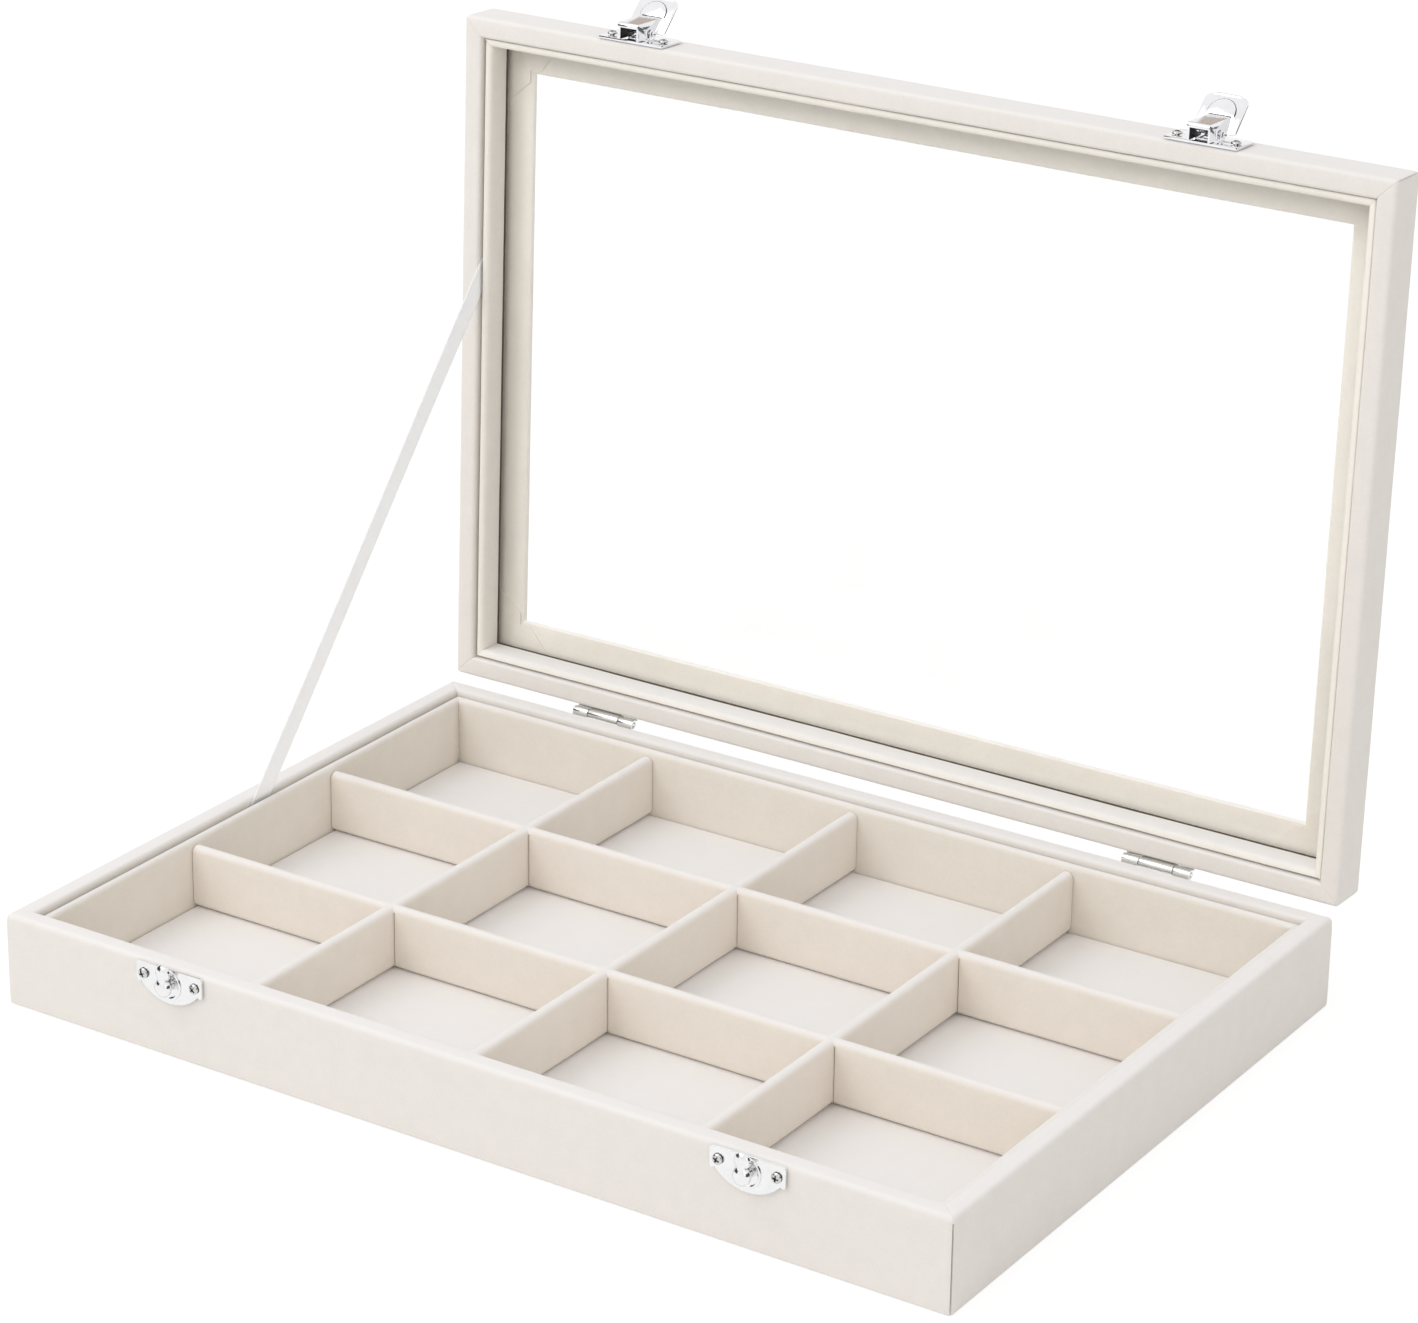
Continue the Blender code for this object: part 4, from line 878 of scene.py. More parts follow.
def makeSeal(sizes):
    high = boxOf([f"lid_{side}_liner" for side in linerCorners], lidBack)[1]
    thick = wallThickness("lid_left_liner", lidBack)
    outer, inner, edge = thick - sizes["hidden"], thick + sizes["shown"], sizes["edge"]
    bottom, top = -sizes["away"] - sizes["thickness"], -sizes["away"]
    corners = [(inner, bottom, edge), (outer, bottom, edge), (outer, top, edge), (inner, top, edge)]
    outline = roundedOutline(corners, 2)
    points, faces = ringPoints((high.x, high.y), outer, outline, sizes["spacing"], high.z)
    mesh = meshFrom("paneSeal", points, faces)
    piece = linkMesh("paneSeal", turned(mesh, lidTurn), "gapShade", 40)
    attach(piece, "lid")


makeSeal(gapShadeSizes)

# Geometry Nodes helpers


def newTree(name, inputs):  # a tree with named inputs, and the outputs of its input node
    tree = bpy.data.node_groups.new(name, "GeometryNodeTree")
    tree.interface.new_socket("Geometry", in_out="INPUT", socket_type="NodeSocketGeometry")
    for label, kind, value in inputs:
        socket = tree.interface.new_socket(label, in_out="INPUT", socket_type="NodeSocket" + kind)
        if value is not None:
            socket.default_value = value
    tree.interface.new_socket("Geometry", in_out="OUTPUT", socket_type="NodeSocketGeometry")
    return tree, tree.nodes.new("NodeGroupInput").outputs


def addNode(tree, kind, links=None, settings=None, **values):  # a node in links stands for its first output
    node = tree.nodes.new(kind)
    for key, value in (settings or {}).items():
        setattr(node, key, value)
    for key, value in values.items():
        node.inputs[key.replace("_", " ")].default_value = value
    for key, source in (links or {}).items():
        tree.links.new(source.outputs[0] if isinstance(source, bpy.types.Node) else source, node.inputs[key])
    return node


def endTree(tree, shape, material, marks=None, markedMaterial=None):  # plain geometry and its materials
    real = addNode(tree, "GeometryNodeRealizeInstances", {"Geometry": shape})
    finish = addNode(tree, "GeometryNodeSetMaterial", {"Geometry": real, "Material": material})
    if marks:
        links = {"Geometry": finish, "Selection": marks, "Material": markedMaterial}
        finish = addNode(tree, "GeometryNodeSetMaterial", links)
    out = tree.nodes.new("NodeGroupOutput")
    tree.links.new(finish.outputs[0], out.inputs[0])


def runTree(name, tree, values, start=None):  # runs a tree on a start mesh and gives a plain mesh
    holder = intoScene(name + "Holder", start or bpy.data.meshes.new(name + "Start"))
    modifier = holder.modifiers.new("tree", "NODES")
    modifier.node_group = tree
    for item in tree.interface.items_tree:
        if item.in_out == "INPUT" and item.name in values:
            modifier[item.identifier] = values[item.name]
    deps = bpy.context.evaluated_depsgraph_get()
    mesh = bpy.data.meshes.new_from_object(holder.evaluated_get(deps))
    mesh.name = name
    holder.modifiers.remove(modifier)
    bpy.data.objects.remove(holder)
    return mesh


# dividers: an egg-crate of three cross and two long covered strips

dividerSizes = {
    "topRadius": 2.1 * mm,
    "spacing": 4.0 * mm,
    "slit": 0.35 * mm,
    "slitDrop": 1.5 * mm,
    "slitFoot": 0.4 * mm,  # the slits stay above the bars' feet
    "slitWidth": 1.5,  # times the bar's thickness, so that it cuts right through
    "filletPoints": 5,
    "profileCuts": 3,
    "ripple": 0.14 * mm,
    "rippleScale": 30.0,
}


def barNodes(tree, value, length, along, sizes):  # a rounded bar of a length along x or y
    halves = [addMath(tree, "MULTIPLY", length, share) for share in (-0.5, 0.5)]
    ends = [addNode(tree, "ShaderNodeCombineXYZ", {along: half}) for half in halves]
    line = addNode(tree, "GeometryNodeCurvePrimitiveLine", {"Start": ends[0], "End": ends[1]})
    cuts = {"Curve": line, "Length": value["Spacing"]}
    fine = addNode(tree, "GeometryNodeResampleCurve", cuts, {"mode": "LENGTH"})
    size = {"Width": value["Thickness"], "Height": value["Height"]}
    profile = addNode(tree, "GeometryNodeCurvePrimitiveQuadrilateral", size)
    rounding = {"Curve": profile, "Radius": value["Top Radius"]}
    soft = addNode(tree, "GeometryNodeFilletCurve", rounding, {"mode": "POLY"}, Count=sizes["filletPoints"])
    split = addNode(tree, "GeometryNodeSubdivideCurve", {"Curve": soft}, Cuts=sizes["profileCuts"])
    return addNode(tree, "GeometryNodeCurveToMesh", {"Curve": fine, "Profile Curve": split}, Fill_Caps=True)


def rowNodes(tree, bar, count, pitch, axis):  # copies of a bar side by side, centred
    span = addMath(tree, "MULTIPLY", addMath(tree, "SUBTRACT", count, 1.0), pitch)
    start = addNode(tree, "ShaderNodeCombineXYZ", {axis: addMath(tree, "MULTIPLY", span, -0.5)})
    step = addNode(tree, "ShaderNodeCombineXYZ", {axis: pitch})
    row = addNode(tree, "GeometryNodeMeshLine", {"Count": count, "Start Location": start, "Offset": step})
    copies = addNode(tree, "GeometryNodeInstanceOnPoints", {"Points": row, "Instance": bar})
    return addNode(tree, "GeometryNodeRealizeInstances", {"Geometry": copies})


def slitNodes(tree, value, sizes):  # cutters beside each crossing, under the rounded top
    foot = sizes["slitFoot"]
    deep = addMath(tree, "SUBTRACT", value["Height"], value["Slit Drop"])
    size = {
        "X": value["Slit"],
        "Y": addMath(tree, "MULTIPLY", value["Thickness"], sizes["slitWidth"]),
        "Z": addMath(tree, "SUBTRACT", deep, foot),
    }
    cutter = addNode(tree, "GeometryNodeMeshCube", {"Size": addNode(tree, "ShaderNodeCombineXYZ", size)})
    drop = addMath(tree, "MULTIPLY", addMath(tree, "SUBTRACT", value["Slit Drop"], foot), -0.5)
    apart = addMath(tree, "ADD", value["Thickness"], value["Slit"])
    pair = addNode(tree, "GeometryNodeJoinGeometry")
    for share in (0.5, -0.5):
        place = addNode(tree, "ShaderNodeCombineXYZ", {"X": addMath(tree, "MULTIPLY", apart, share), "Z": drop})
        moved = addNode(tree, "GeometryNodeTransform", {"Geometry": cutter, "Translation": place})
        tree.links.new(moved.outputs[0], pair.inputs[0])
    across = rowNodes(tree, pair, value["Cross Count"], value["Cross Pitch"], "X")
    return rowNodes(tree, across, value["Long Count"], value["Long Pitch"], "Y")


def dividerTree(sizes):
    floats = ("Cross Length", "Long Length", "Cross Pitch", "Long Pitch", "Thickness", "Height")
    floats += ("Top Radius", "Spacing", "Slit", "Slit Drop")
    inputs = [(label, "Float", 0.1) for label in floats]
    inputs += [("Cross Count", "Int", 3), ("Long Count", "Int", 2), ("Material", "Material", None)]
    tree, value = newTree("dividerLattice", inputs)
    exact = {"solver": "EXACT"}
    joined = addNode(tree, "GeometryNodeMeshBoolean", None, {"operation": "UNION", **exact})
    for kind, along, beside in (("Cross", "Y", "X"), ("Long", "X", "Y")):
        bar = barNodes(tree, value, value[kind + " Length"], along, sizes)
        row = rowNodes(tree, bar, value[kind + " Count"], value[kind + " Pitch"], beside)
        tree.links.new(row.outputs[0], joined.inputs["Mesh 2"])
    pieces = {"Mesh 1": joined.outputs["Mesh"], "Mesh 2": slitNodes(tree, value, sizes)}
    cut = addNode(tree, "GeometryNodeMeshBoolean", pieces, {"operation": "DIFFERENCE", **exact})
    endTree(tree, cut.outputs["Mesh"], value["Material"])
    return tree


def makeDividers(sizes):
    crossNames = sorted(name for name in nodes if name.startswith("cross_divider"))
    longNames = sorted(name for name in nodes if name.startswith("long_divider"))
    crossLow, crossHigh = boxOf(crossNames)
    longLow, longHigh = boxOf(longNames)
    thick = wallThickness(crossNames[0])
    tall = crossHigh.z - crossLow.z
    values = {
        "Cross Length": crossHigh.y - crossLow.y,
        "Long Length": longHigh.x - longLow.x,
        "Cross Pitch": (crossHigh.x - crossLow.x - thick) / (len(crossNames) - 1),
        "Long Pitch": (longHigh.y - longLow.y - thick) / (len(longNames) - 1),
        "Thickness": thick,
        "Height": tall,
        "Top Radius": sizes["topRadius"],
        "Spacing": sizes["spacing"],
        "Slit": sizes["slit"],
        "Slit Drop": sizes["slitDrop"],
        "Cross Count": len(crossNames),
        "Long Count": len(longNames),
        "Material": looks["divider"],
    }
    mesh = runTree("dividers", dividerTree(sizes), values)
    turned(mesh, Matrix.Translation((0, 0, crossLow.z + tall / 2)))
    ripple(mesh, sizes["ripple"], sizes["rippleScale"], 11)
    piece = linkMesh("dividers", mesh, "divider", 50)
    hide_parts(*crossNames, *longNames)
    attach(piece, "tray")
    print("dividers made:", len(mesh.polygons), "faces")


makeDividers(dividerSizes)

# floor pad: soft, a little crowned in each compartment and pressed down under the dividers

padSizes = {
    "crown": 0.30 * mm,
    "press": 0.25 * mm,
    "edgeRadius": 0.6 * mm,
    "edgeAngles": (30, 60, 90),
    "ripple": 0.10 * mm,
    "rippleScale": 45.0,
    "stillBelow": 0.2 * mm,
    "step": 3.0 * mm,
    "besideWall": 0.8 * mm,
    "fullness": 1.6,  # above 1 the crown has a flat middle
    "fill": 0.7,
}


def compartmentEdges():  # the places of the compartments' sides along x and y
    low, high = boxOf(["tray_floor_pad"])
    edges = []
    for axis, prefix in ((0, "cross_divider"), (1, "long_divider")):
        walls = [boxOf([name]) for name in sorted(nodes) if name.startswith(prefix)]
        inner = [side[axis] for wall in sorted(walls, key=lambda w: w[0][axis]) for side in wall]
        lines = [low[axis]] + inner + [high[axis]]
        edges.append([(lines[i], lines[i + 1]) for i in range(0, len(lines), 2)])
    return edges


def crownAt(value, spans):  # 1 in the middle of a compartment, 0 at its sides, -1 under a divider
    for low, high in spans:
        if low <= value <= high:
            share = (value - low) / (high - low)
            return min(1.0, math.sin(math.pi * share) * padSizes["fullness"])
    return -1.0


def gridLines(low, high, spans, sizes):
    lines = {low, high}
    for first, last in spans:
        count = max(2, round((last - first) / sizes["step"]))
        lines.update(round(first + (last - first) * part / count, 7) for part in range(count + 1))
        lines.update((first + sizes["besideWall"], last - sizes["besideWall"]))
    return sorted(line for line in lines if low <= line <= high)


def rimOrder(wide, deep):  # row and column of the border points of a grid, in order round it
    order = [(0, column) for column in range(wide)]
    order += [(row, wide - 1) for row in range(1, deep)]
    order += [(deep - 1, column) for column in range(wide - 2, -1, -1)]
    order += [(row, 0) for row in range(deep - 2, 0, -1)]
    return order


def edgeSign(value, edge):
    return (value >= edge) - (value <= -edge)


def makePad(sizes):
    low, high = boxOf(["tray_floor_pad"])
    across, along = compartmentEdges()
    radius = sizes["edgeRadius"]
    inner = Vector((high.x - radius, high.y - radius))
    xs = gridLines(-inner.x, inner.x, across, sizes)
    ys = gridLines(-inner.y, inner.y, along, sizes)
    points = []
    for y in ys:
        for x in xs:
            crown = min(crownAt(x, across), crownAt(y, along))
            rise = -sizes["press"] if crown < 0 else sizes["crown"] * crown
            points.append((x, y, high.z + rise))
    wide, deep = len(xs), len(ys)
    faces = gridFaces(wide, deep)
    rim = [row * wide + column for row, column in rimOrder(wide, deep)]
    loops = [rim]
    for angle in (*sizes["edgeAngles"], None):  # the rounded edge, then the foot
        loops.append(list(range(len(points), len(points) + len(rim))))
        for index in rim:
            x, y, z = points[index]
            out = Vector((edgeSign(x, inner.x), edgeSign(y, inner.y)))
            if angle is None:
                points.append((x + out.x * radius, y + out.y * radius, low.z))
            else:
                turn = math.radians(angle)
                reach = radius * math.sin(turn)
                points.append((x + out.x * reach, y + out.y * reach, z - radius * (1 - math.cos(turn))))
    for upper, lower in zip(loops, loops[1:]):
        for index in range(len(rim)):
            beside = (index + 1) % len(rim)
            faces.append((upper[index], lower[index], lower[beside], upper[beside]))
    faces.append(tuple(reversed(loops[-1])))
    mesh = meshFrom("floorPad", points, faces, closeWeld)
    ripple(mesh, sizes["ripple"], sizes["rippleScale"], 21, lambda place: place.z < low.z + sizes["stillBelow"])
    piece = linkMesh("floorPad", mesh, "pad", 40)
    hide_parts("tray_floor_pad")
    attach(piece, "tray")


makePad(padSizes)
print("floor pad made")

# corner patches: cloth folded over the window's corners, on the inner face of the frame

patchSizes = {
    "thickness": 0.36 * mm,
    "away": 0.14 * mm,
    "nearCorner": 3.0 * mm,
    "windowGap": 1.4 * mm,
    "tip": 10.8 * mm,
    "tipEase": 0.4 * mm,
    "reach": 10.2 * mm,
    "tuck": 2.4 * mm,
    "softEdge": 0.07 * mm,
}


def makePatches(sizes):
    low, high = boxOf(["lid_face_frame"], lidBack)
    border = windowBorder()
    half = Vector((high.x - border, high.y - border))
    top = low.z - sizes["away"]
    near, reach, far = sizes["nearCorner"], sizes["reach"], sizes["reach"] + sizes["tuck"]
    gap, tip, ease = sizes["windowGap"], sizes["tip"], sizes["tipEase"]
    # out and along from the window's corner, in one quarter
    quarter = [(-near, gap), (gap, gap), (gap, -near), (reach, ease - tip), (far, -tip)]
    quarter += [(far, far), (-tip, far), (ease - tip, reach)]
    count = len(quarter)
    points, faces = [], []
    for signX, signY in ((1, 1), (1, -1), (-1, 1), (-1, -1)):
        start = len(points)
        for level in (top, top - sizes["thickness"]):
            points.extend((signX * (half.x + out), signY * (half.y + along), level) for out, along in quarter)
        faces.append(tuple(start + index for index in range(count)))
        faces.append(tuple(start + count + index for index in reversed(range(count))))
        for index in range(count):
            beside = (index + 1) % count
            faces.append((start + index, start + count + index, start + count + beside, start + beside))
    mesh = meshFrom("cornerPatches", points, faces, closeWeld)
    piece = linkMesh("cornerPatches", turned(mesh, lidTurn), "patch", 30)
    soften = piece.modifiers.new("softEdge", "BEVEL")
    soften.width = sizes["softEdge"]
    soften.segments = 2
    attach(piece, "lid")


makePatches(patchSizes)

# ribbon stay: a taut satin ribbon from behind the tray's left liner to behind the lid's

ribbonSizes = {
    "width": 7.5 * mm,
    "thickness": 0.30 * mm,
    "tail": 8.0 * mm,
    "trayPlace": (0.002, 0.0315),  # y and z
    "lidReach": 146.5 * mm,
    "selvedge": 0.08 * mm,
    "selvedgeStart": 0.75,  # of the half width
    "bow": 0.35 * mm,
    "bowWave": (5.1, 0.4, 0.5),  # how fast it goes, where it starts, its share
    "twistWave": (3.3, 0.6),
    "rows": 90,
    "columns": 10,
    "pathParts": 30,
}


def ribbonPoints(first, last, across, sizes):
    rows, columns = sizes["rows"], sizes["columns"]
    half, thick = sizes["width"] / 2, sizes["thickness"] / 2
    bowSpeed, bowStart, bowShare = sizes["bowWave"]
    twistSpeed, twistShare = sizes["twistWave"]
    points, uvs = [], []
    for side in (1, -1):
        for row in range(rows + 1):
            share = row / rows
            middle = first.lerp(last, share)
            free = max(0.0, min(1.0, math.sin(math.pi * share)))
            for column in range(columns + 1):
                place = -1 + 2 * column / columns
                edge = sizes["selvedge"] if abs(place) > sizes["selvedgeStart"] else 0.0
                wave = math.sin(share * bowSpeed + bowStart) * bowShare
                wave += place * twistShare * math.sin(share * twistSpeed)
                shift = Vector((side * (thick + edge) + sizes["bow"] * free * wave, 0, 0))
                points.append(middle + across * (half * place) + shift)
                uvs.append((share * (last - first).length / sizes["width"], (place + 1) / 2))
    return points, uvs


def ribbonFaces(wide, deep):  # two faces and the edge between them
    layer = wide * deep
    faces = [tuple(reversed(quad)) for quad in gridFaces(wide, deep)] + gridFaces(wide, deep, layer)
    border = [row * wide + column for row, column in rimOrder(wide, deep)]
    for here, beside in zip(border, border[1:] + border[:1]):
        faces.append((here, beside, layer + beside, layer + here))
    return faces


def makeRibbon(sizes):
    low, high = boxOf(["lid_ribbon"])
    shutLow, shutHigh = boxOf(lidWalls, lidBack)
    middleX = (low.x + high.x) / 2
    start = Vector((middleX, *sizes["trayPlace"]))
    end = lidTurn @ Vector((middleX, shutHigh.y - sizes["lidReach"], shutLow.z))
    along = (end - start).normalized()
    across = Vector((0, -along.z, along.y))
    first, last = start - along * sizes["tail"], end + along * sizes["tail"]
    points, uvs = ribbonPoints(first, last, across, sizes)
    mesh = meshFrom("ribbonStay", points, ribbonFaces(sizes["columns"] + 1, sizes["rows"] + 1), None)
    layerUv = mesh.uv_layers.new(name="UVMap")
    for loop in mesh.loops:
        layerUv.data[loop.index].uv = uvs[loop.vertex_index]
    piece = linkMesh("ribbonStay", mesh, "ribbon", 60)
    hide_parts("lid_ribbon")
    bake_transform(piece)


makeRibbon(ribbonSizes)

# screws: one cross-recessed screw, set on the points of each body's screws

screwSizes = {
    "headRadius": 1.7 * mm,
    "headHeight": 0.9 * mm,
    "crownShare": 0.72,  # of the head's height
    "crownAngles": (18, 34, 50, 66, 80, 90),
    "shankRadius": 0.8 * mm,
    "point": 1.2 * mm,
    "recessLength": 2.4 * mm,
    "recessWidth": 0.6 * mm,
    "recessDepth": 0.85 * mm,
    "recessRise": 0.4 * mm,  # how far the cutter stands over the crown
    "recessTaper": (1.15, 0.55),  # shares of the length, at the cutter's top and foot
    "markReach": 0.8,  # faces painted dark as shade in the recess lie within this share of the head
    "markDepths": (0.7, 0.96),  # shares of the recess's depth
    "markSteep": 0.6,
    "sides": 32,
    "firstTwist": 0.72,
    "twistStep": 1.9,
}


def crossCutter(name, longWay, sizes):  # one arm of the cross, narrower at its foot
    long, wide = sizes["recessLength"] / 2, sizes["recessWidth"] / 2
    corners = []
    for z, share in zip((sizes["recessRise"], -sizes["recessDepth"]), sizes["recessTaper"]):
        x, y = (long * share, wide) if longWay == "X" else (wide, long * share)
        corners += [(x, y, z), (-x, y, z), (-x, -y, z), (x, -y, z)]
    quads = [(0, 1, 2, 3), (7, 6, 5, 4), (0, 4, 5, 1), (1, 5, 6, 2), (2, 6, 7, 3), (3, 7, 4, 0)]
    return intoScene(name, meshFrom(name, corners, quads, closeWeld))


def markRecess(mesh, sizes):  # the recess's steep and deep faces, which get painted shade
    mesh.attributes.new("recess", "BOOLEAN", "FACE")
    marks = mesh.attributes["recess"].data
    reach = sizes["headRadius"] * sizes["markReach"]
    deep, deepest = (-share * sizes["recessDepth"] for share in sizes["markDepths"])
    for index, face in enumerate(mesh.polygons):
        inside = face.center.xy.length < reach and face.center.z + closeWeld >= deepest
        marks[index].value = inside and (abs(face.normal.z) < sizes["markSteep"] or face.center.z < deep)


def screwForm(sizes, depth):  # the head's crown is at the origin, pointing up
    radius, head, shank = sizes["headRadius"], sizes["headHeight"], sizes["shankRadius"]
    profile = [(0.0, 0.0)]
    for angle in sizes["crownAngles"]:
        turn = math.radians(angle)
        profile.append((radius * math.sin(turn), -head * sizes["crownShare"] * (1 - math.cos(turn))))
    profile += [(radius, -head), (shank, -head), (shank, -depth + sizes["point"]), (0.0, -depth)]
    points, faces = [], []
    sides, rows = sizes["sides"], len(profile)
    for side in range(sides):
        turn = math.tau * side / sides
        points.extend((r * math.cos(turn), r * math.sin(turn), z) for r, z in profile)
        here, beside = side * rows, (side + 1) % sides * rows
        faces += [(here + row, here + row + 1, beside + row + 1, beside + row) for row in range(rows - 1)]
    screw = intoScene("screwForm", meshFrom("screwForm", points, faces, closeWeld))
    for longWay in ("X", "Y"):
        cut = screw.modifiers.new("slot" + longWay, "BOOLEAN")
        cut.object = crossCutter("slot" + longWay, longWay, sizes)
        cut.operation = "DIFFERENCE"
        cut.solver = "EXACT"
    deps = bpy.context.evaluated_depsgraph_get()
    made = bpy.data.meshes.new_from_object(screw.evaluated_get(deps))
    for thing in [screw] + [modifier.object for modifier in screw.modifiers]:
        bpy.data.objects.remove(thing)
    markRecess(made, sizes)
    return intoScene("screwSource", made)


def screwTree():
    inputs = [("Screw", "Object", None), ("Size", "Float", 1.0)]
    inputs += [("Material", "Material", None), ("Recess Shade Material", "Material", None)]
    tree, value = newTree("screwSet", inputs)

    def named(name, kind):
        return addNode(tree, "GeometryNodeInputNamedAttribute", None, {"data_type": kind}, Name=name)

    facing, twist, recess = named("facing", "FLOAT_VECTOR"), named("twist", "FLOAT"), named("recess", "BOOLEAN")
    align = addNode(tree, "FunctionNodeAlignEulerToVector", {"Vector": facing}, {"axis": "Z"})
    spin = addNode(tree, "ShaderNodeCombineXYZ", {"Z": twist})
    about = {"rotation_type": "EULER", "space": "LOCAL"}
    turn = addNode(tree, "FunctionNodeRotateEuler", {"Rotation": align, "Rotate By": spin}, about)
    form = addNode(tree, "GeometryNodeObjectInfo", {"Object": value["Screw"]}, {"transform_space": "ORIGINAL"})
    links = {"Points": value["Geometry"], "Instance": form.outputs["Geometry"]}
    links.update({"Rotation": turn, "Scale": value["Size"]})
    copies = addNode(tree, "GeometryNodeInstanceOnPoints", links)
    endTree(tree, copies, value["Material"], recess, value["Recess Shade Material"])
    return tree


def makeScrews(sizes):
    tree = screwTree()
    depth = 0.0
    sets = {"tray": [], "lid": []}
    for name in sorted(name for name in nodes if "screw" in name):
        onLid = name.startswith(("latch", "hinge_lid"))
        back, turn = (lidBack, lidTurn) if onLid else (unturned, unturned)
        low, high = boxOf([name], back)
        front = low.y < 0
        crown = Vector(((low.x + high.x) / 2, low.y if front else high.y, (low.z + high.z) / 2))
        depth = max(depth, high.y - low.y)
        facing = turn.to_3x3() @ Vector((0, -1 if front else 1, 0))
        sets["lid" if onLid else "tray"].append((name, turn @ crown, facing))
    source = screwForm(sizes, depth)
    for body, found in sets.items():
        points = bpy.data.meshes.new(body + "ScrewPlaces")
        points.from_pydata([place for name, place, facing in found], [], [])
        points.attributes.new("facing", "FLOAT_VECTOR", "POINT")
        points.attributes.new("twist", "FLOAT", "POINT")
        for index, (name, place, facing) in enumerate(found):
            points.attributes["facing"].data[index].vector = facing
            points.attributes["twist"].data[index].value = sizes["firstTwist"] + sizes["twistStep"] * index
        # the recess faces take the painted shade look
        values = {"Screw": source, "Size": 1.0, "Material": looks["screw"], "Recess Shade Material": looks["paintedShade"]}
        mesh = runTree(body + "Screws", tree, values, points)
        piece = linkMesh(body + "Screws", mesh, "screw", 40, "paintedShade")
        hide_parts(*[name for name, place, facing in found])
        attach(piece, body)
    bpy.data.objects.remove(source)
    print("screws made:", {body: len(found) for body, found in sets.items()})


makeScrews(screwSizes)

# latch springs: fine wire wound round each pin, one leg on the plate and one under the lever

springSizes = {
    "coilRadius": 1.2 * mm,
    "pitch": 0.95 * mm,
    "turns": 3.5,
    "wireRadius": 0.25 * mm,
    "wireSides": 10,
    "leg": 3.2 * mm,
    "roofRise": 3.45 * mm,
    "stepsPerTurn": 28,
}


def wireTree():
    inputs = [("Radius", "Float", 0.001), ("Sides", "Int", 10), ("Material", "Material", None)]
    tree, value = newTree("wireAlongPath", inputs)
    line = addNode(tree, "GeometryNodeMeshToCurve", {"Mesh": value["Geometry"]})
    size = {"Radius": value["Radius"], "Resolution": value["Sides"]}
    ring = addNode(tree, "GeometryNodeCurvePrimitiveCircle", size, {"mode": "RADIUS"})
    tube = addNode(tree, "GeometryNodeCurveToMesh", {"Curve": line, "Profile Curve": ring}, Fill_Caps=True)
    endTree(tree, tube, value["Material"])
    return tree


def springPath(pin, sizes):
    steps = round(sizes["turns"] * sizes["stepsPerTurn"])
    width = sizes["turns"] * sizes["pitch"]
    coil = []
    for step in range(steps + 1):
        angle = -math.pi / 2 + math.tau * sizes["turns"] * step / steps
        rise = sizes["coilRadius"] * math.cos(angle)
        out = sizes["coilRadius"] * math.sin(angle)
        coil.append(pin + Vector((width * (step / steps - 0.5), -out, rise)))
    plateEnd = coil[0] - Vector((0, 0, sizes["leg"]))
    roofEnd = Vector((coil[-1].x, pin.y - sizes["roofRise"], coil[-1].z - sizes["leg"]))
    path = [plateEnd, plateEnd.lerp(coil[0], 0.5), *coil, coil[-1].lerp(roofEnd, 0.5), roofEnd]
    return [lidTurn @ point for point in path], width


def makeSprings(sizes):
    tree = wireTree()
    for side in ("left", "right"):
        pin = lidBack @ Vector(joints["latch_" + side]["pos_m"])
        path, width = springPath(pin, sizes)
        start = bpy.data.meshes.new("springPath")
        start.from_pydata(path, [(index, index + 1) for index in range(len(path) - 1)], [])
        values = {"Radius": sizes["wireRadius"], "Sides": sizes["wireSides"], "Material": looks["spring"]}
        name = "latchSpring" + side.capitalize()
        piece = linkMesh(name, runTree(name, tree, values, start), "spring", 60)
        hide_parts("latch_spring_" + side)
        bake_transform(piece)


makeSprings(springSizes)
print("springs made")

# stamped and turned metal: the same forms with every edge eased

metalPieces = [
    # node, piece, look, slot, body, eased edge
    ("strike_plate_{}", "strikePlate{}", "strike", "strike_chrome", "tray", 0.10 * mm),
    ("strike_knob_{}", "strikeKnob{}", "strike", "strike_chrome", "tray", 0.08 * mm),
    ("hinge_tray_leaf_{}", "hingeTrayLeaf{}", "hinge", "hinge_nickel", "tray", 0.08 * mm),
    ("hinge_lid_leaf_{}", "hingeLidLeaf{}", "hinge", "hinge_nickel", "lid", 0.08 * mm),
    ("hinge_pin_{}", "hingePin{}", "hinge", "hinge_nickel", "tray", 0.06 * mm),
    ("latch_plate_{}", "latchPlate{}", "chrome", "latch_chrome", "lid", 0.10 * mm),
    ("latch_pin_{}", "latchPin{}", "chrome", "latch_chrome", "lid", 0.06 * mm),
    ("latch_lever_{}", "latchLever{}", "chrome", "latch_chrome", "lever_{}", 0.09 * mm),
]

easeSizes = {
    "sharpAngle": 32.0,
    "flatAngle": 0.6,
    "segments": 2,
    "profile": 0.6,
}

insideSizes = {  # a face is inside the lever's socket if another wall stands this far before it
    "nearest": 1.6 * mm,
    "farthest": 9.0 * mm,
    "share": 0.7,  # of the places tried on the face
    "towardsCorner": 0.8,
}

archShadeSizes = {  # painted shade: the dark line round the raised arch of a blade, where its step lies in shade
    "radius": 0.13 * mm,
    "sunk": 0.22 * mm,  # below the arch's face
    "roundings": 2,
    "sides": 8,
    "leastArea": 30 * mm * mm,  # smaller faces aren't the arch
    "lean": 0.5,  # how far the arch's face looks forward and up
    "cornerCuts": (0.25, 0.75),
}


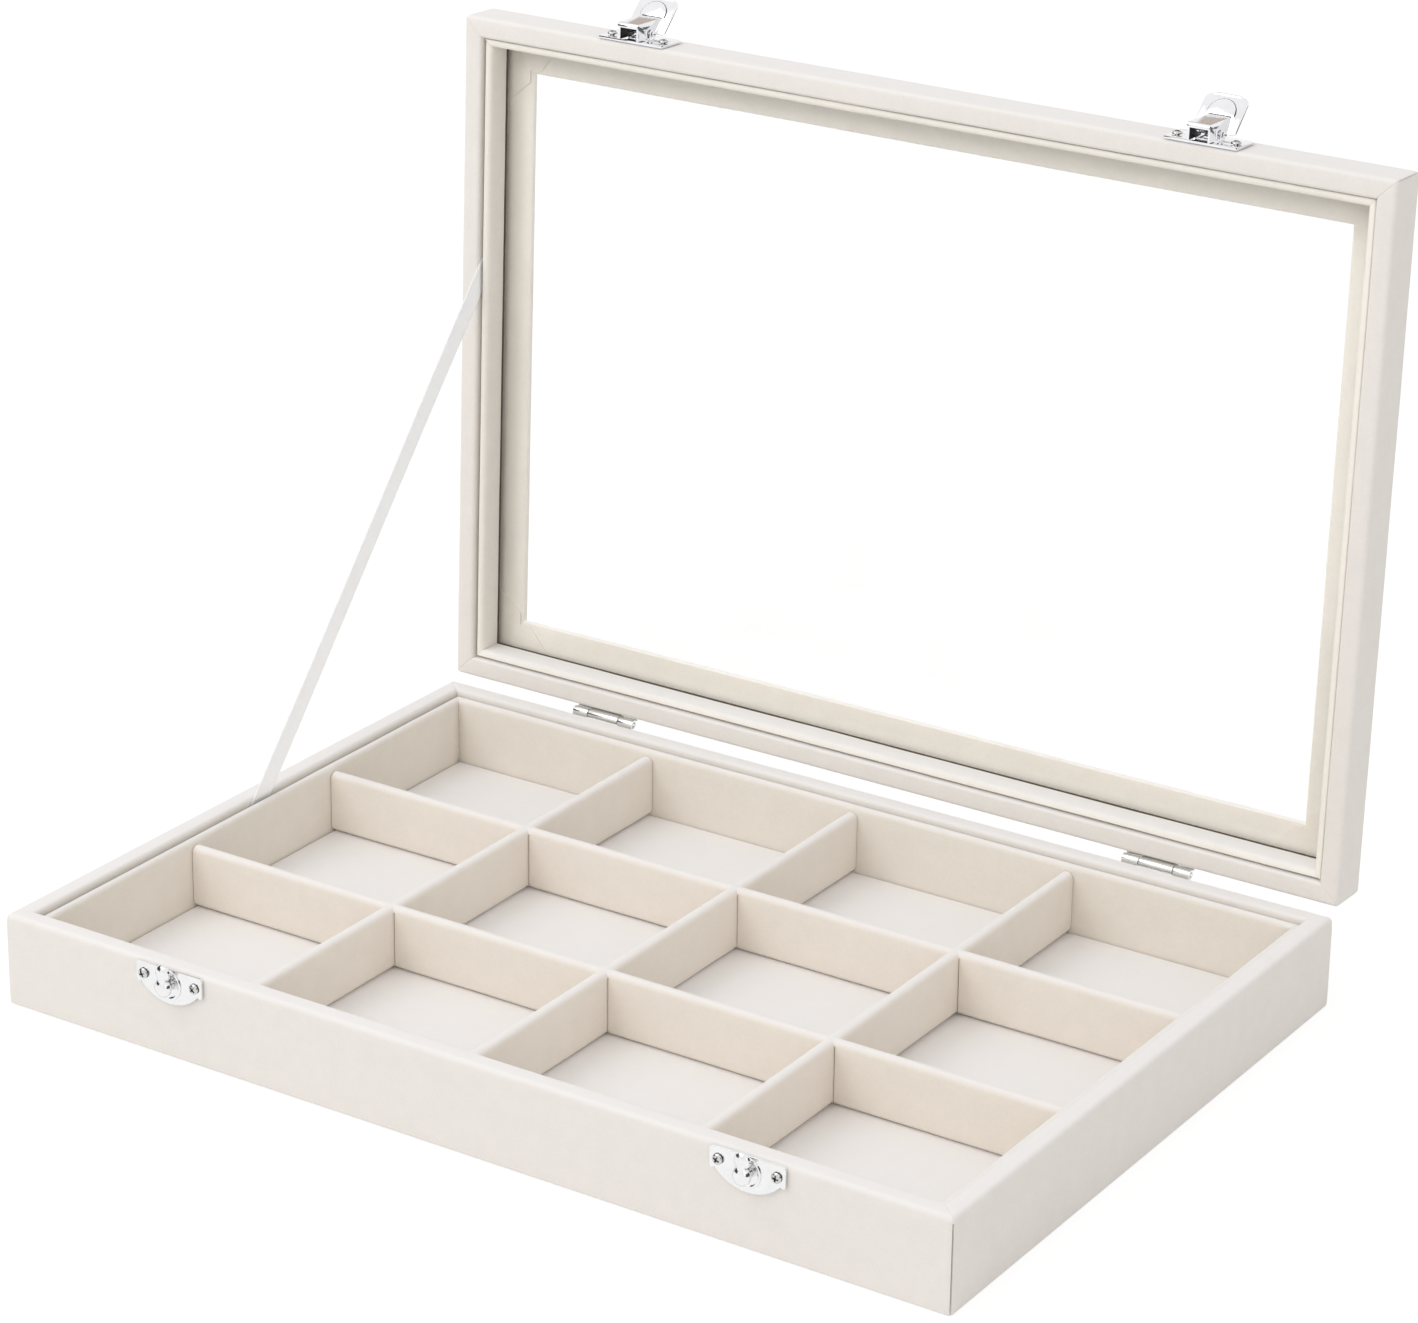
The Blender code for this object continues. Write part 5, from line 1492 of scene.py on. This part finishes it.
def easedCopy(name, node, ease, sizes):  # a merged copy of a CAD node whose sharp edges are rounded
    work = bmesh.new()
    work.from_mesh(nodes[node].data)
    bmesh.ops.remove_doubles(work, verts=work.verts, dist=closeWeld)
    flat, sharpest = math.radians(sizes["flatAngle"]), math.radians(sizes["sharpAngle"])
    bmesh.ops.dissolve_limit(work, angle_limit=flat, verts=work.verts, edges=work.edges)
    sharp = [edge for edge in work.edges if edge.is_manifold and edge.calc_face_angle(0.0) > sharpest]
    segments, profile = sizes["segments"], sizes["profile"]
    bmesh.ops.bevel(work, geom=sharp, offset=ease, offset_type="OFFSET", segments=segments, profile=profile,
                    affect="EDGES", clamp_overlap=True)
    bmesh.ops.recalc_face_normals(work, faces=work.faces)
    mesh = bpy.data.meshes.new(name)
    work.to_mesh(mesh)
    work.free()
    if "custom_normal" in mesh.attributes:
        mesh.attributes.remove(mesh.attributes["custom_normal"])
    return mesh


def markInside(mesh, sizes):  # the socket's inner faces get painted shade, a dark steel look
    points = [vertex.co.copy() for vertex in mesh.vertices]
    tree = BVHTree.FromPolygons(points, [tuple(face.vertices) for face in mesh.polygons])
    for face in mesh.polygons:
        corners = [points[index] for index in face.vertices]
        tries = [face.center] + [face.center.lerp(corner, sizes["towardsCorner"]) for corner in corners]
        starts = [place + face.normal * sizes["nearest"] for place in tries]
        hits = [tree.ray_cast(start, face.normal, sizes["farthest"])[0] for start in starts]
        face.material_index = int(sum(hit is not None for hit in hits) > sizes["share"] * len(tries))


def addArchLine(mesh, sizes):  # a thin dark bead along the outline of the raised face, painted shade at the arch's step
    lean = sizes["lean"]
    leaning = [face for face in mesh.polygons if face.normal.y < -lean and face.normal.z > lean]
    large = [face for face in leaning if face.area > sizes["leastArea"]]
    raised = max(large, key=lambda face: face.normal.dot(face.center))
    up = raised.normal.copy()
    outline = [mesh.vertices[index].co.copy() for index in raised.vertices]
    for rounding in range(sizes["roundings"]):  # cuts the corners of the arch's outline
        pairs = list(zip(outline, outline[1:] + outline[:1]))
        outline = [point.lerp(after, share) for point, after in pairs for share in sizes["cornerCuts"]]
    radius, sides = sizes["radius"], sizes["sides"]
    turns = [2 * math.pi * step / sides for step in range(sides)]
    work = bmesh.new()
    work.from_mesh(mesh)
    rings = []
    for index, point in enumerate(outline):
        along = (outline[(index + 1) % len(outline)] - outline[index - 1]).normalized()
        side = along.cross(up)
        middle = point + side * radius - up * sizes["sunk"]
        ring = [middle + radius * (math.cos(turn) * up + math.sin(turn) * side) for turn in turns]
        rings.append([work.verts.new(place) for place in ring])
    for ring, after in zip(rings, rings[1:] + rings[:1]):
        for step in range(sides):
            face = work.faces.new((ring[step - 1], ring[step], after[step], after[step - 1]))
            face.material_index = 1
            face.smooth = True
    work.to_mesh(mesh)
    work.free()


def makeMetal(node, pieceName, look, slotName, body, ease):
    for side in ("left", "right"):
        name, source = pieceName.format(side.capitalize()), node.format(side)
        mesh = easedCopy(name, source, ease, easeSizes)
        isLever = node.startswith("latch_lever")
        if isLever:
            markInside(mesh, insideSizes)
            addArchLine(mesh, archShadeSizes)
        # levers: the socket's insides and the arch line take the painted shade look
        piece = linkMesh(name, mesh, look, 30, "paintedShade" if isLever else None)
        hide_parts(source)
        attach(piece, body.format(side))


for metalPiece in metalPieces:
    makeMetal(*metalPiece)
print("metal pieces made")

# nodes whose shape is right as it is: a better finish only
for node, look in (("lid_pane", "glass"), ("tray_bottom_panel", "board")):
    for slot in nodes[node].material_slots:
        slot.material = looks[look]
